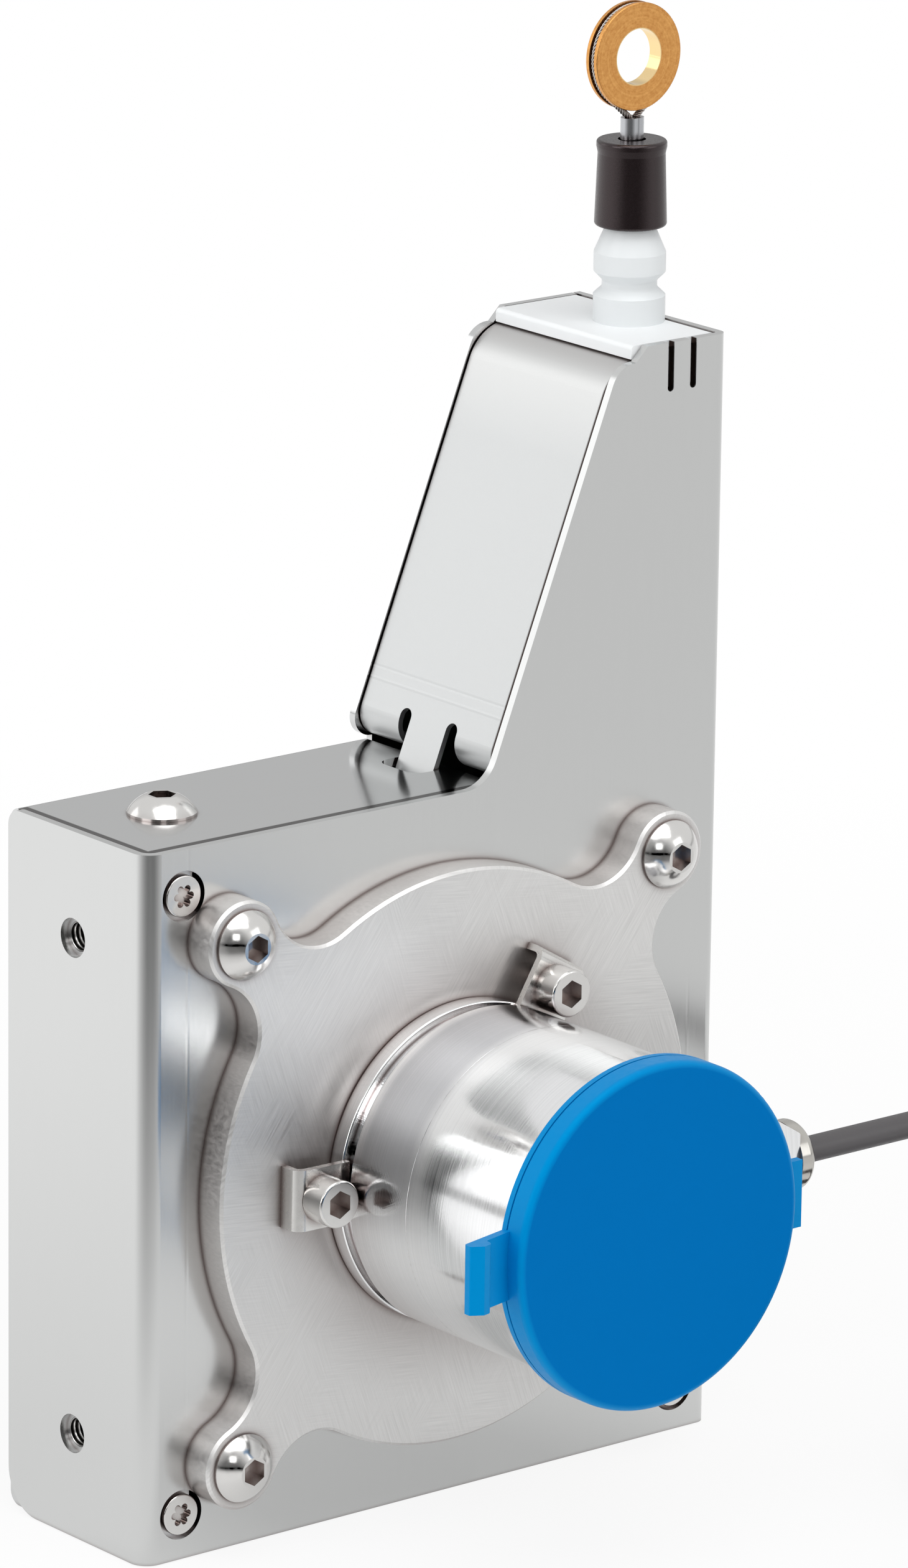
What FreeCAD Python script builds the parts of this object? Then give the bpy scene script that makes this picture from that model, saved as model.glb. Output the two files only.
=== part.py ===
import FreeCAD, Part
import os
from math import acos, asin, atan2, cos, hypot, pi, radians, sin, tan

# Draw wire encoder: a sheet steel housing with a wire drum and a spiral spring
# inside, a tower that guides the wire straight up, and a rotary encoder on the
# front. Millimetres. X is across the front, Y goes back, Z is up.
# While modelling, the encoder axis is at X = 0, the housing's front face at
# Y = 0 and its base at Z = 0. The finished solids are moved back by MOVE_Y, so
# that the origin is under the middle of the part's bounding box.

# Housing sheet metal
DEPTH = 41.0
SHEET = 1.5
SIDE_ROOM = 3.0
FLOOR_ROOM = 3.0
LID_ROOM = 2.6
TOWER_RISE = 74.0
SHELL_GAP = 0.3
BEND_LEFT = 3.5
BEND_RIGHT = 2.2
BEND_REAR = 2.5
LID_DROP = 0.4
LID_GAP = 0.5
SIDE_END_GAP = 1.8
SIDE_CORNER_TOP = 3.0
SIDE_CORNER_BASE = 8.0

# Tower outline, with widths measured from the right wall
TOWER_FOOT_W = 53.25
TOWER_LEAN = radians(21.6)
TOWER_TOP_W = 18.5
TOWER_CHAMFER = 2.6
SHOULDER_R = 5.2
FOOT_R = 7.0
REAR_FOOT_R = 3.6
REAR_FOOT_W = 47.7
BEND_RELIEF = 1.8
FINGER_SLOT_W = 1.4
FINGER_SLOT_DEPTH = 8.8
FINGER_SLOT_IN = 8.05
FINGER_SLOT_STEP = 5.1

# Tower cover strip
COVER_T = 1.0
COVER_SINK = 0.5
COVER_TOP_R = 9.0
COVER_CURL_R = 4.5
COVER_CURL_W = 44.0
COVER_TOP_W = 16.0
COVER_TOP_DROP = 2.4
TAB_W = 9.8
TAB_SLOT_W = 3.0
TAB_SLOT_RISE = 8.4
TAB_REACH = 3.5
LID_SLOT_LEFT = 4.7
LID_SLOT_RIGHT = 2.4
LID_SLOT_SIDE = 0.5
LID_SLOT_R = 2.6

# Encoder axis, flange plate and its screws
FLANGE_T = 6.3
FLANGE_EDGE = 0.5
FLANGE_INSET = 11.8
ARM_R = 7.7
ARM_INSET = 16.8
ARM_FILLET = 10.2
HUB_R = 24.0
HUB_CLEAR = 0.2
COUPLING_ROOM_R = 10.0
M6_R = 3.0
M6_CLEAR = 0.3
M6_TAP_R = 2.5
BUTTON_R = 6.15
BUTTON_H = 3.4
BUTTON_EDGE = 0.5
BUTTON_DOME_R = 7.2
BUTTON_HEX = 4.2
BUTTON_HEX_DEPTH = 2.2
NUT_AF = 10.0
NUT_H = 5.0
SCREW_PAST_NUT = 1.0

# Corner screws of the housing
CORNER_INSET = 8.2
CORNER_HEAD_R = 3.7
CORNER_HEAD_H = 1.6
CORNER_SINK_R = 4.5
CORNER_SHANK_R = 2.0
CORNER_LENGTH = 9.0
STAR_R = 2.1
STAR_W = 1.3
STAR_DEPTH = 0.9

# Inner blocks and the side mounting holes
BLOCK_W = 9.6
BLOCK_TALL = 28.1
FOOT_REACH = 17.0
FOOT_CLEAR = 2.5
FOOT_SIDE = 10.0
POST_TALL = 15.5
SIDE_HOLE_PITCH = 90.0
SIDE_HOLE_R = 3.5
TOP_SCREW_IN = 20.0
TOP_SCREW_BACK = 1.2
TOP_SCREW_LENGTH = 11.0

# Encoder
ENC_R = 29.0
LIP_H = 3.4
GROOVE_H = 2.6
GROOVE_DEPTH = 1.4
BASE_LENGTH = 21.7
ENC_LENGTH = 53.2
ENC_WALL = 2.5
BASE_PLATE_T = 7.7
SHAFT_HOLE_R = 5.0
END_WALL_T = 2.0
NOSE_PAST = 16.5
NOSE_FLAT_H = 11.3
NOSE_BACK = 27.7
NOSE_T = 11.0
NOSE_EDGE = 0.6

# Servo clamps
CLAMP_SCREW_OUT = 4.8
CLAMP_LEG_OUT = 10.3
CLAMP_GAP = 0.3
CLAMP_COUNT = 3
CLAMP_START = radians(179.2)
CLAMP_W = 11.0
CLAMP_T = 1.2
CLAMP_BEND_R = 2.2
M5_R = 2.5
M5_HEAD_R = 4.25
M5_HEAD_H = 5.0
M5_HEX = 4.4
M5_HEX_DEPTH = 2.8
M5_GRIP = 5.0

# Protective cap
CAP_SLIP = 0.3
CAP_WALL = 1.6
CAP_FACE_T = 1.5
CAP_SKIRT = 4.0
CAP_EDGE_R = 1.2
CAP_LINE_BACK = 1.1
CAP_LINE_W = 0.35
CAP_LINE_DEPTH = 0.5
CLIP_H = 12.2
CLIP_T = 1.6
CLIP_BACK = 0.3
PULL_OUT = 9.9
PULL_LEAN = 2.6
BEAD_W = 4.3
BEAD_T = 2.25
LUG_OUT = 4.3

# Cable outlet
GLAND_R = 6.44
GLAND_LENGTH = 4.6
GLAND_RIM = 2.6
GLAND_END_R = 4.2
SEAL_R = 3.2
SEAL_SINK = 0.4
CABLE_R = 2.4
CABLE_ROOM = 0.3

# Bearings
BEARING_R = 14.0
BEARING_W = 8.0
SHAFT_R = 6.0
ENC_BEARING_R = 7.5
ENC_BEARING_W = 5.0
ENC_SHAFT_R = 3.0
RING_T = 2.6
ENC_RING_T = 1.5
SHIELD_T = 0.6
SHIELD_GAP = 0.3
BEARING_FRONT_Y = 1.0
HOLDER_R = 24.0
HOLDER_FLOOR = 0.5

# Wire drum
WIRE_R = 0.6
WIRE_Y = 18.3
DRUM_R = 55.8
DRUM_LIP = 3.7
DRUM_FLANGE_T = 1.5
DRUM_WIDTH = 16.5
DRUM_RIM_T = 3.8
DRUM_HUB_R = 12.0
DRUM_HUB_L = 6.0
DRUM_HUB_AHEAD = 1.0
WEB_BACK = 1.95
WEB_T = 3.0
WEB_HOLES = 6
WEB_HOLE_R = 8.0
WEB_HOLE_PCR = 32.0
WIND_GAP = 0.2
WIND_SEAT = 0.05
ARBOR_R = 8.0
ARBOR_GAP = 0.3
SHAFT_END_GAP = 0.6
JOURNAL_R = 4.0

# Spiral spring and its case
CASE_ROOM = 8.0
CASE_BACK = 2.2
CASE_WALL = 2.0
CASE_LID_T = 1.0
CASE_LID_HOLE = 16.5
CASE_BACK_T = 1.5
ARBOR_ROOM = 2.0
SPRING_T = 0.8
SPRING_GAP = 1.2
SPRING_HALF_TURNS = 14
SPRING_SIDE_GAP = 0.5

# Coupling, code disc and circuit board
COUPLING_R = 8.0
COUPLING_GAP = 0.3
SHAFT_MEET = 3.1
DISC_GAP = 0.9
DISC_T = 1.0
DISC_AT = 18.0
DISC_HUB_R = 5.0
DISC_HUB_T = 1.5
ENC_SHAFT_PAST = 1.0
BOARD_GAP = 0.8
BOARD_T = 1.6
BOARD_AT = 24.0
PILLAR_R = 1.6
PILLAR_IN = 3.2
PILLAR_COUNT = 3
CHIP_W = 7.0
CHIP_T = 1.2
HEAD_W = 6.0
HEAD_GAP = 1.0

# Wire guide in the tower
GUIDE_DEPTH = 18.0
GUIDE_LEDGE_W = 20.8
GUIDE_BODY_W = 15.5
GUIDE_TOP_R = 0.8
GUIDE_BORE_R = 1.2
POCKET_W = 2.6
POCKET_DEPTH = 5.0
POCKET_LID = 1.2
NOZZLE_R = 6.4
NOZZLE_NECK_R = 4.9
NOZZLE_TIP_R = 4.5
NOZZLE_H = 16.8
NOZZLE_BASE_H = 4.7
NOZZLE_NECK_LOW = 6.1
NOZZLE_NECK_HIGH = 7.4
NOZZLE_LIP_LOW = 8.9
NOZZLE_LIP_HIGH = 12.4
NOZZLE_ROUND = 0.7
NOZZLE_LIP_R = 0.3
SHANK_R = 4.0
SHANK_LENGTH = 12.0
EYELET_R = 2.3
EYELET_BORE_R = 1.0
EYELET_H = 4.0

# Wire end
STOP_GAP = 0.3
STOP_H = 15.4
STOP_TOP_R = 6.25
STOP_WAIST_R = 6.0
STOP_BASE_R = 6.45
STOP_EDGE_R = 0.6
STOP_LIP = 1.2
STOP_POCKET_R = 2.5
STOP_POCKET_H = 2.0
FERRULE_H = 5.9
FERRULE_R = 1.65
FERRULE_OFFSET = 0.55
EYE_RISE = 10.95
EYE_R = 9.6
EYE_HOLE_R = 5.0
EYE_T = 3.0
EYE_GROOVE_W = 1.4
EYE_GROOVE_DEPTH = 1.4
LOOP_SLACK = 0.05
WIRE_LOW_Z = 77.3

# Cable route, coil and plug, as points chosen by hand from the gland outwards
CABLE_POINTS = (
    (84.0, -39.5, 64.0),
    (115.0, -41.5, 46.5),
    (123.5, -52.0, 24.0),
    (121.9, -73.5, 12.0),
)
COIL_X = 100.0
COIL_Y = -70.0
COIL_IN_R = 19.8
COIL_OUT_R = 34.2
COIL_H = 14.4
COIL_LANE_R = 31.8
ARC_SHARE = 0.45
TAIL_IN = 2.0
TAIL_OUT = 21.0
PLUG_R = 4.9
PLUG_LENGTH = 34.0
PLUG_BOOT_R = 2.9
PLUG_BOOT_L = 8.0
PLUG_NECK_L = 3.0
PLUG_BODY_L = 16.0
PLUG_NOSE_R = 4.0
PLUG_WALL = 0.7
PIN_R = 0.5
PIN_COUNT = 4
PIN_PCR = 1.9
PIN_LENGTH = 3.4

# Places that follow from the sizes above
DRUM_FLANGE_R = DRUM_R + DRUM_LIP
WIRE_X = DRUM_R + WIRE_R
HALF_W = DRUM_FLANGE_R + SIDE_ROOM + SHEET
AXIS_Z = SHEET + FLOOR_ROOM + DRUM_FLANGE_R
BOX_H = AXIS_Z + DRUM_FLANGE_R + LID_ROOM + SHEET + LID_DROP
TOWER_H = BOX_H + TOWER_RISE
LEFT_IN = -HALF_W + SHEET
RIGHT_IN = HALF_W - SHEET
BACK_IN = DEPTH - SHEET
LID_TOP = BOX_H - LID_DROP
LID_UNDER = LID_TOP - SHEET
MID_Y = DEPTH / 2
ARM_OFFSET = HALF_W - ARM_INSET
FLANGE_R = HALF_W - FLANGE_INSET
REAR_FOOT_X = HALF_W - REAR_FOOT_W
FINGER_SLOTS_X = (HALF_W - FINGER_SLOT_IN - FINGER_SLOT_STEP, HALF_W - FINGER_SLOT_IN)
TOP_SCREW_X = -HALF_W + TOP_SCREW_IN
TOP_SCREW_Y = MID_Y + TOP_SCREW_BACK
FOOT_END_X = LEFT_IN + BLOCK_W + FOOT_REACH
FOOT_LOW = AXIS_Z + (DRUM_FLANGE_R ** 2 - FOOT_END_X ** 2) ** 0.5 + FOOT_CLEAR
GAP_FRONT = SHEET + SHELL_GAP
GAP_BACK = BACK_IN - SHELL_GAP
SEAT_Y = -FLANGE_T
HUB_LENGTH = BEARING_FRONT_Y + BEARING_W
NOSE_REACH = ENC_R + NOSE_PAST
CLAMP_R = ENC_R + CLAMP_SCREW_OUT
CLAMP_INNER = ENC_R - GROOVE_DEPTH + CLAMP_GAP
CLAMP_OUTER = ENC_R + CLAMP_LEG_OUT
CAP_IN_R = ENC_R + CAP_SLIP
CAP_R = CAP_IN_R + CAP_WALL
BOARD_R = ENC_R - ENC_WALL - BOARD_GAP
PILLAR_PCR = BOARD_R - PILLAR_IN
DISC_R = PILLAR_PCR - PILLAR_R - DISC_GAP
ENC_END_Y = SEAT_Y - ENC_LENGTH
CAP_FRONT_Y = ENC_END_Y - CAP_SLIP - CAP_FACE_T
MOVE_Y = -(CAP_FRONT_Y + DEPTH) / 2
GLAND_Y = SEAT_Y - NOSE_BACK - NOSE_T / 2
NOZZLE_TOP = TOWER_H + NOZZLE_H
STOP_BASE = NOZZLE_TOP + STOP_GAP
STOP_TOP = STOP_BASE + STOP_H
FERRULE_TOP = STOP_TOP - STOP_POCKET_H + FERRULE_H
EYE_Z = FERRULE_TOP + EYE_RISE
DRUM_Y = WIRE_Y - DRUM_WIDTH / 2
WEB_Y = DRUM_Y + WEB_BACK
HOLDER_Y = BACK_IN - HOLDER_FLOOR - BEARING_W
CASE_R = DRUM_R - DRUM_RIM_T - CASE_ROOM
CASE_Y = WEB_Y + WEB_T + CASE_BACK
CASE_BACK_HOLE = ARBOR_R + ARBOR_ROOM
SPRING_IN_R = ARBOR_R + SPRING_GAP
SPRING_ROOM = CASE_R - CASE_WALL - SPRING_GAP - SPRING_IN_R - SPRING_T
SPRING_STEP = SPRING_ROOM / SPRING_HALF_TURNS

X_AXIS = FreeCAD.Vector(1, 0, 0)
Y_AXIS = FreeCAD.Vector(0, 1, 0)
Z_AXIS = FreeCAD.Vector(0, 0, 1)


def vec(x, y, z):
    """A point or direction."""
    return FreeCAD.Vector(x, y, z)


def rounded_wire(corners, place):
    """Closed wire through (u, v, radius) corners with a tangent arc at each radius."""
    stops = []
    count = len(corners)
    for i in range(count):
        u, v, radius = corners[i]
        here = vec(u, v, 0)
        back = vec(corners[i - 1][0], corners[i - 1][1], 0) - here
        ahead = vec(corners[(i + 1) % count][0], corners[(i + 1) % count][1], 0) - here
        back.normalize()
        ahead.normalize()
        if radius <= 0:
            stops.append((here, None, here))
            continue
        half = back.getAngle(ahead) / 2
        reach = radius / tan(half)
        middle = back + ahead
        middle.normalize()
        bulge = radius / sin(half) - radius
        stops.append((here + back * reach, here + middle * bulge, here + ahead * reach))
    edges = []
    for i in range(count):
        start, crown, end = stops[i]
        if crown is not None:
            points = [place(p.x, p.y) for p in (start, crown, end)]
            edges.append(Part.Arc(*points).toShape())
        following = stops[(i + 1) % count][0]
        if end.distanceToPoint(following) > 1e-6:
            edges.append(Part.LineSegment(place(end.x, end.y), place(following.x, following.y)).toShape())
    return Part.Wire(edges)


def plate_xz(corners, y0, y1):
    """Outline in X and Z, from Y = y0 to y1."""
    face = Part.Face(rounded_wire(corners, lambda u, v: vec(u, y0, v)))
    return face.extrude(vec(0, y1 - y0, 0))


def plate_xy(corners, z0, z1):
    """Outline in X and Y, from Z = z0 to z1."""
    face = Part.Face(rounded_wire(corners, lambda u, v: vec(u, v, z0)))
    return face.extrude(vec(0, 0, z1 - z0))


def plate_yz(corners, x0, x1):
    """Outline in Y and Z, from X = x0 to x1."""
    face = Part.Face(rounded_wire(corners, lambda u, v: vec(x0, u, v)))
    return face.extrude(vec(x1 - x0, 0, 0))


def block(x0, x1, y0, y1, z0, z1):
    """Box between two corners."""
    return Part.makeBox(x1 - x0, y1 - y0, z1 - z0, vec(x0, y0, z0))


def ribbon(path, thickness):
    """Closed outline of bent sheet whose first side is the open (u, v, radius) path.

    The second side lies to the left of the path by the thickness, or to the
    right where the thickness is negative, and its radii follow the first.
    """
    heads = []
    for a, b in zip(path, path[1:]):
        length = hypot(b[0] - a[0], b[1] - a[1])
        heads.append(((b[0] - a[0]) / length, (b[1] - a[1]) / length))
    other = []
    for i, (u, v, radius) in enumerate(path):
        before = heads[max(i - 1, 0)]
        after = heads[min(i, len(heads) - 1)]
        left = (-before[1] - after[1], before[0] + after[0])
        share = thickness / (1 + before[0] * after[0] + before[1] * after[1])
        turn = before[0] * after[1] - before[1] * after[0]
        grown = radius
        if radius > 0:
            grown = radius - thickness if turn > 0 else radius + thickness
        other.append((u + left[0] * share, v + left[1] * share, max(grown, 0)))
    return list(path) + other[::-1]


def turned(profile, base, axis, radial):
    """Solid of revolution of (radius, along, fillet) corners about an axis."""
    face = Part.Face(rounded_wire(profile, lambda r, a: base + radial * r + axis * a))
    solid = face.revolve(base, axis, 360)
    if solid.Volume < 0:
        solid.reverse()
    return solid


def turned_y(profile, x=0.0, z=AXIS_Z):
    """Turned piece about a line along Y, with the profile's second value as Y."""
    return turned(profile, vec(x, 0, z), Y_AXIS, X_AXIS)


def turned_z(profile, x, y):
    """Turned piece about a line along Z, with the profile's second value as Z."""
    return turned(profile, vec(x, y, 0), Z_AXIS, X_AXIS)


def turned_x(profile, y, z):
    """Turned piece about a line along X, with the profile's second value as X."""
    return turned(profile, vec(0, y, z), X_AXIS, Z_AXIS)


def rod_y(radius, x, z, y0, y1):
    """Round rod along Y."""
    return Part.makeCylinder(radius, y1 - y0, vec(x, y0, z), Y_AXIS)


def rod_z(radius, x, y, z0, z1):
    """Round rod along Z."""
    return Part.makeCylinder(radius, z1 - z0, vec(x, y, z0), Z_AXIS)


def rod_x(radius, y, z, x0, x1):
    """Round rod along X."""
    return Part.makeCylinder(radius, x1 - x0, vec(x0, y, z), X_AXIS)


def tube_y(outer, inner, y0, y1, x=0.0, z=AXIS_Z):
    """Round tube along Y."""
    return rod_y(outer, x, z, y0, y1).cut(rod_y(inner, x, z, y0 - 1, y1 + 1))


def hexagon(across_flats, place):
    """Face of a regular hexagon drawn with place(u, v)."""
    reach = across_flats / (2 * cos(pi / 6))
    corners = [(reach * cos(k * pi / 3), reach * sin(k * pi / 3), 0) for k in range(6)]
    return Part.Face(rounded_wire(corners, place))


def hex_y(across_flats, x, z, y0, y1):
    """Hexagonal rod along Y with corners up and down."""
    face = hexagon(across_flats, lambda u, v: vec(x + v, y0, z + u))
    return face.extrude(vec(0, y1 - y0, 0))


def fused(shapes):
    """One shape from several that touch."""
    first = shapes[0]
    return first.fuse(shapes[1:]).removeSplitter()


def without(shape, cutters):
    """Shape with every cutter taken out."""
    return shape.cut(Part.makeCompound(cutters))


def arm_points():
    """Centres of the four flange screws as (x, z)."""
    places = []
    for sx in (-1, 1):
        for sz in (-1, 1):
            places.append((sx * ARM_OFFSET, AXIS_Z + sz * ARM_OFFSET))
    return places


def corner_points():
    """Centres of the housing's three front corner screws as (x, z)."""
    side = HALF_W - CORNER_INSET
    return [(-side, BOX_H - CORNER_INSET), (-side, CORNER_INSET), (side, CORNER_INSET)]


def side_hole_heights():
    """Heights of the two mounting holes in the left wall."""
    return [AXIS_Z - SIDE_HOLE_PITCH / 2, AXIS_Z + SIDE_HOLE_PITCH / 2]


def slope_x(z, inset=0.0):
    """X of the tower's sloping edge at a height, moved inwards by inset."""
    return HALF_W - TOWER_FOOT_W + (z - BOX_H) * tan(TOWER_LEAN) + inset / cos(TOWER_LEAN)


def tower_head():
    """Top of the tower outline shared by the front and rear walls, right to left."""
    shoulder = TOWER_H - TOWER_CHAMFER
    corner = HALF_W - TOWER_TOP_W
    return [
        (corner, TOWER_H, 0),
        (corner - TOWER_CHAMFER, shoulder, 0),
        (slope_x(shoulder), shoulder, SHOULDER_R),
    ]


def front_shell():
    """Front wall with the tower, left side wall and full-height right wall."""
    side_end = DEPTH - SIDE_END_GAP
    half = ribbon([(-HALF_W, side_end, 0), (-HALF_W, 0, BEND_LEFT), (0, 0, 0)], SHEET)
    other = ribbon([(0, 0, 0), (HALF_W, 0, BEND_RIGHT), (HALF_W, DEPTH, 0)], SHEET)
    channel = fused([plate_xy(half, 0, TOWER_H), plate_xy(other, 0, TOWER_H)])
    outline = [(-HALF_W, 0, 0), (HALF_W, 0, 0), (HALF_W, TOWER_H, 0)]
    outline += tower_head()
    outline += [(slope_x(BOX_H), BOX_H, FOOT_R), (-HALF_W, BOX_H, 0)]
    shell = channel.common(plate_xz(outline, -1, DEPTH + 1))
    cutters = [rod_y(HUB_R + HUB_CLEAR, 0, AXIS_Z, -1, SHEET + 1)]
    for x, z in arm_points():
        cutters.append(rod_y(M6_R + M6_CLEAR, x, z, -1, SHEET + 1))
    for x, z in corner_points():
        cutters.append(rod_y(CORNER_SINK_R, x, z, -1, SHEET + 1))
    for z in side_hole_heights():
        cutters.append(rod_x(SIDE_HOLE_R, MID_Y, z, -HALF_W - 1, LEFT_IN + 1))
    for x in FINGER_SLOTS_X:
        half_w = FINGER_SLOT_W / 2
        low = TOWER_H - FINGER_SLOT_DEPTH + half_w
        cutters.append(block(x - half_w, x + half_w, -1, SHEET + 1, low, TOWER_H + 1))
        cutters.append(rod_y(half_w, x, low, -1, SHEET + 1))
    for z, toward, radius in ((0, 1, SIDE_CORNER_BASE), (BOX_H, -1, SIDE_CORNER_TOP)):
        centre_z = z + toward * radius
        low, high = sorted((z - toward, centre_z))
        corner = block(-HALF_W - 1, LEFT_IN + 1, side_end - radius, side_end + 1, low, high)
        rounding = rod_x(radius, side_end - radius, centre_z, -HALF_W - 2, LEFT_IN + 2)
        cutters.append(corner.cut(rounding))
    return without(shell, cutters)


def rear_shell():
    """Back wall with the tower, the lid folded forward on top and the floor."""
    front = SHEET + LID_GAP
    side = RIGHT_IN - SHELL_GAP
    path = [(front, LID_TOP, 0), (DEPTH, LID_TOP, BEND_REAR), (DEPTH, 0, BEND_REAR), (front, 0, 0)]
    channel = plate_yz(ribbon(path, -SHEET), -side, side)
    lid_end = REAR_FOOT_X - BEND_RELIEF
    high = BOX_H - SIDE_CORNER_BASE
    opened = channel.cut(block(lid_end, side + 1, 0, DEPTH + 1, high, BOX_H + 1))
    plan = [(-side, front, BEND_LEFT), (side, front, BEND_RIGHT), (side, DEPTH, 0), (-side, DEPTH, 0)]
    opened = opened.common(plate_xy(plan, -1, BOX_H))
    outline = [(side, AXIS_Z, 0), (side, TOWER_H, 0)]
    outline += tower_head()
    foot_z = LID_TOP + SHELL_GAP
    outline += [
        (slope_x(foot_z), foot_z, REAR_FOOT_R),
        (REAR_FOOT_X, foot_z, 0),
        (REAR_FOOT_X, AXIS_Z, 0),
    ]
    shell = fused([opened, plate_xz(outline, BACK_IN, DEPTH)])
    tab_x = slope_x(LID_TOP, COVER_SINK)
    half = TAB_W / 2 + LID_SLOT_SIDE
    slot = [
        (tab_x - LID_SLOT_LEFT, MID_Y - half, LID_SLOT_R),
        (tab_x + LID_SLOT_RIGHT, MID_Y - half, LID_SLOT_R),
        (tab_x + LID_SLOT_RIGHT, MID_Y + half, LID_SLOT_R),
        (tab_x - LID_SLOT_LEFT, MID_Y + half, LID_SLOT_R),
    ]
    cutters = [plate_xy(slot, LID_UNDER - 1, LID_TOP + 1)]
    cutters.append(rod_z(M6_R + M6_CLEAR, TOP_SCREW_X, TOP_SCREW_Y, LID_UNDER - 1, LID_TOP + 1))
    return without(shell, cutters)


def tower_cover():
    """Satin strip down the tower's slope, with curled lobes and a middle tab."""
    top = TOWER_H - COVER_TOP_DROP
    head = [(HALF_W - COVER_TOP_W, top, 0), (slope_x(top, COVER_SINK), top, COVER_TOP_R)]
    curl_z = LID_TOP + SHELL_GAP
    curl = head + [(slope_x(curl_z, COVER_SINK), curl_z, COVER_CURL_R), (HALF_W - COVER_CURL_W, curl_z, 0)]
    tab_z = BOX_H - TAB_REACH
    straight = head + [(slope_x(tab_z, COVER_SINK), tab_z, 0)]
    cut_half = TAB_W / 2 + TAB_SLOT_W
    lobes = ribbon(curl, COVER_T)
    strip = fused([
        plate_xz(lobes, GAP_FRONT, MID_Y - cut_half),
        plate_xz(ribbon(straight, COVER_T), MID_Y - cut_half, MID_Y + cut_half),
        plate_xz(lobes, MID_Y + cut_half, GAP_BACK),
    ])
    up_slope = vec(sin(TOWER_LEAN), 0, cos(TOWER_LEAN))
    outward = vec(-cos(TOWER_LEAN), 0, sin(TOWER_LEAN))
    half_slot = TAB_SLOT_W / 2
    cutters = []
    for toward in (-1, 1):
        y = MID_Y + toward * (TAB_W / 2 + half_slot)
        foot = vec(slope_x(BOX_H, COVER_SINK), y, BOX_H)
        crown = foot + up_slope * (TAB_SLOT_RISE - half_slot)
        deep = crown - outward * (COVER_T * 3)
        cutters.append(Part.makeCylinder(half_slot, COVER_T * 6, deep, outward))
        low = deep - up_slope * (TAB_SLOT_RISE * 2)
        ends = [deep, low]
        rim = [p + Y_AXIS * (s * half_slot) for p, s in zip(ends + ends[::-1], (-1, -1, 1, 1))]
        face = Part.Face(Part.makePolygon(rim + [rim[0]]))
        cutters.append(face.extrude(outward * (COVER_T * 6)))
    return without(strip, cutters)


def wire_guide():
    """White block that closes the tower, with pockets behind the two finger slots."""
    ledge_z = TOWER_H - COVER_TOP_DROP
    low = TOWER_H - GUIDE_DEPTH
    side = RIGHT_IN - SHELL_GAP
    body_x = HALF_W - GUIDE_BODY_W
    ledge_x = HALF_W - GUIDE_LEDGE_W
    outline = [
        (ledge_x, ledge_z, 0),
        (ledge_x, TOWER_H, GUIDE_TOP_R),
        (side, TOWER_H, GUIDE_TOP_R),
        (side, low, 0),
        (body_x, low, 0),
        (body_x, ledge_z, 0),
    ]
    piece = plate_xz(outline, GAP_FRONT, GAP_BACK)
    shank_low = TOWER_H - SHANK_LENGTH
    cutters = [rod_z(GUIDE_BORE_R, WIRE_X, WIRE_Y, low - 1, TOWER_H + 1)]
    cutters.append(rod_z(SHANK_R, WIRE_X, WIRE_Y, shank_low, TOWER_H + 1))
    half = POCKET_W / 2
    pocket_low = TOWER_H - FINGER_SLOT_DEPTH - half
    for x in FINGER_SLOTS_X:
        end = GAP_FRONT + POCKET_DEPTH
        cutters.append(block(x - half, x + half, GAP_FRONT - 1, end, pocket_low, TOWER_H - POCKET_LID))
    return without(piece, cutters)


def guide_nozzle():
    """White turned nozzle that the wire leaves by, with its shank in the guide block."""
    base = TOWER_H
    nozzle = turned_z([
        (0, base - SHANK_LENGTH, 0),
        (SHANK_R, base - SHANK_LENGTH, 0),
        (SHANK_R, base, 0),
        (NOZZLE_R, base, 0),
        (NOZZLE_R, base + NOZZLE_BASE_H, 0),
        (NOZZLE_NECK_R, base + NOZZLE_NECK_LOW, NOZZLE_ROUND),
        (NOZZLE_NECK_R, base + NOZZLE_NECK_HIGH, NOZZLE_ROUND),
        (NOZZLE_R, base + NOZZLE_LIP_LOW, NOZZLE_LIP_R),
        (NOZZLE_R, base + NOZZLE_LIP_HIGH, NOZZLE_LIP_R),
        (NOZZLE_TIP_R, NOZZLE_TOP, 0),
        (0, NOZZLE_TOP, 0),
    ], WIRE_X, WIRE_Y)
    cutters = [rod_z(GUIDE_BORE_R, WIRE_X, WIRE_Y, base - SHANK_LENGTH - 1, NOZZLE_TOP + 1)]
    cutters.append(rod_z(EYELET_R, WIRE_X, WIRE_Y, NOZZLE_TOP - EYELET_H, NOZZLE_TOP + 1))
    return without(nozzle, cutters)


def guide_eyelet():
    """Hard eyelet in the nozzle's mouth."""
    ring = rod_z(EYELET_R, WIRE_X, WIRE_Y, NOZZLE_TOP - EYELET_H, NOZZLE_TOP)
    return ring.cut(rod_z(EYELET_BORE_R, WIRE_X, WIRE_Y, NOZZLE_TOP - EYELET_H - 1, NOZZLE_TOP + 1))


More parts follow.
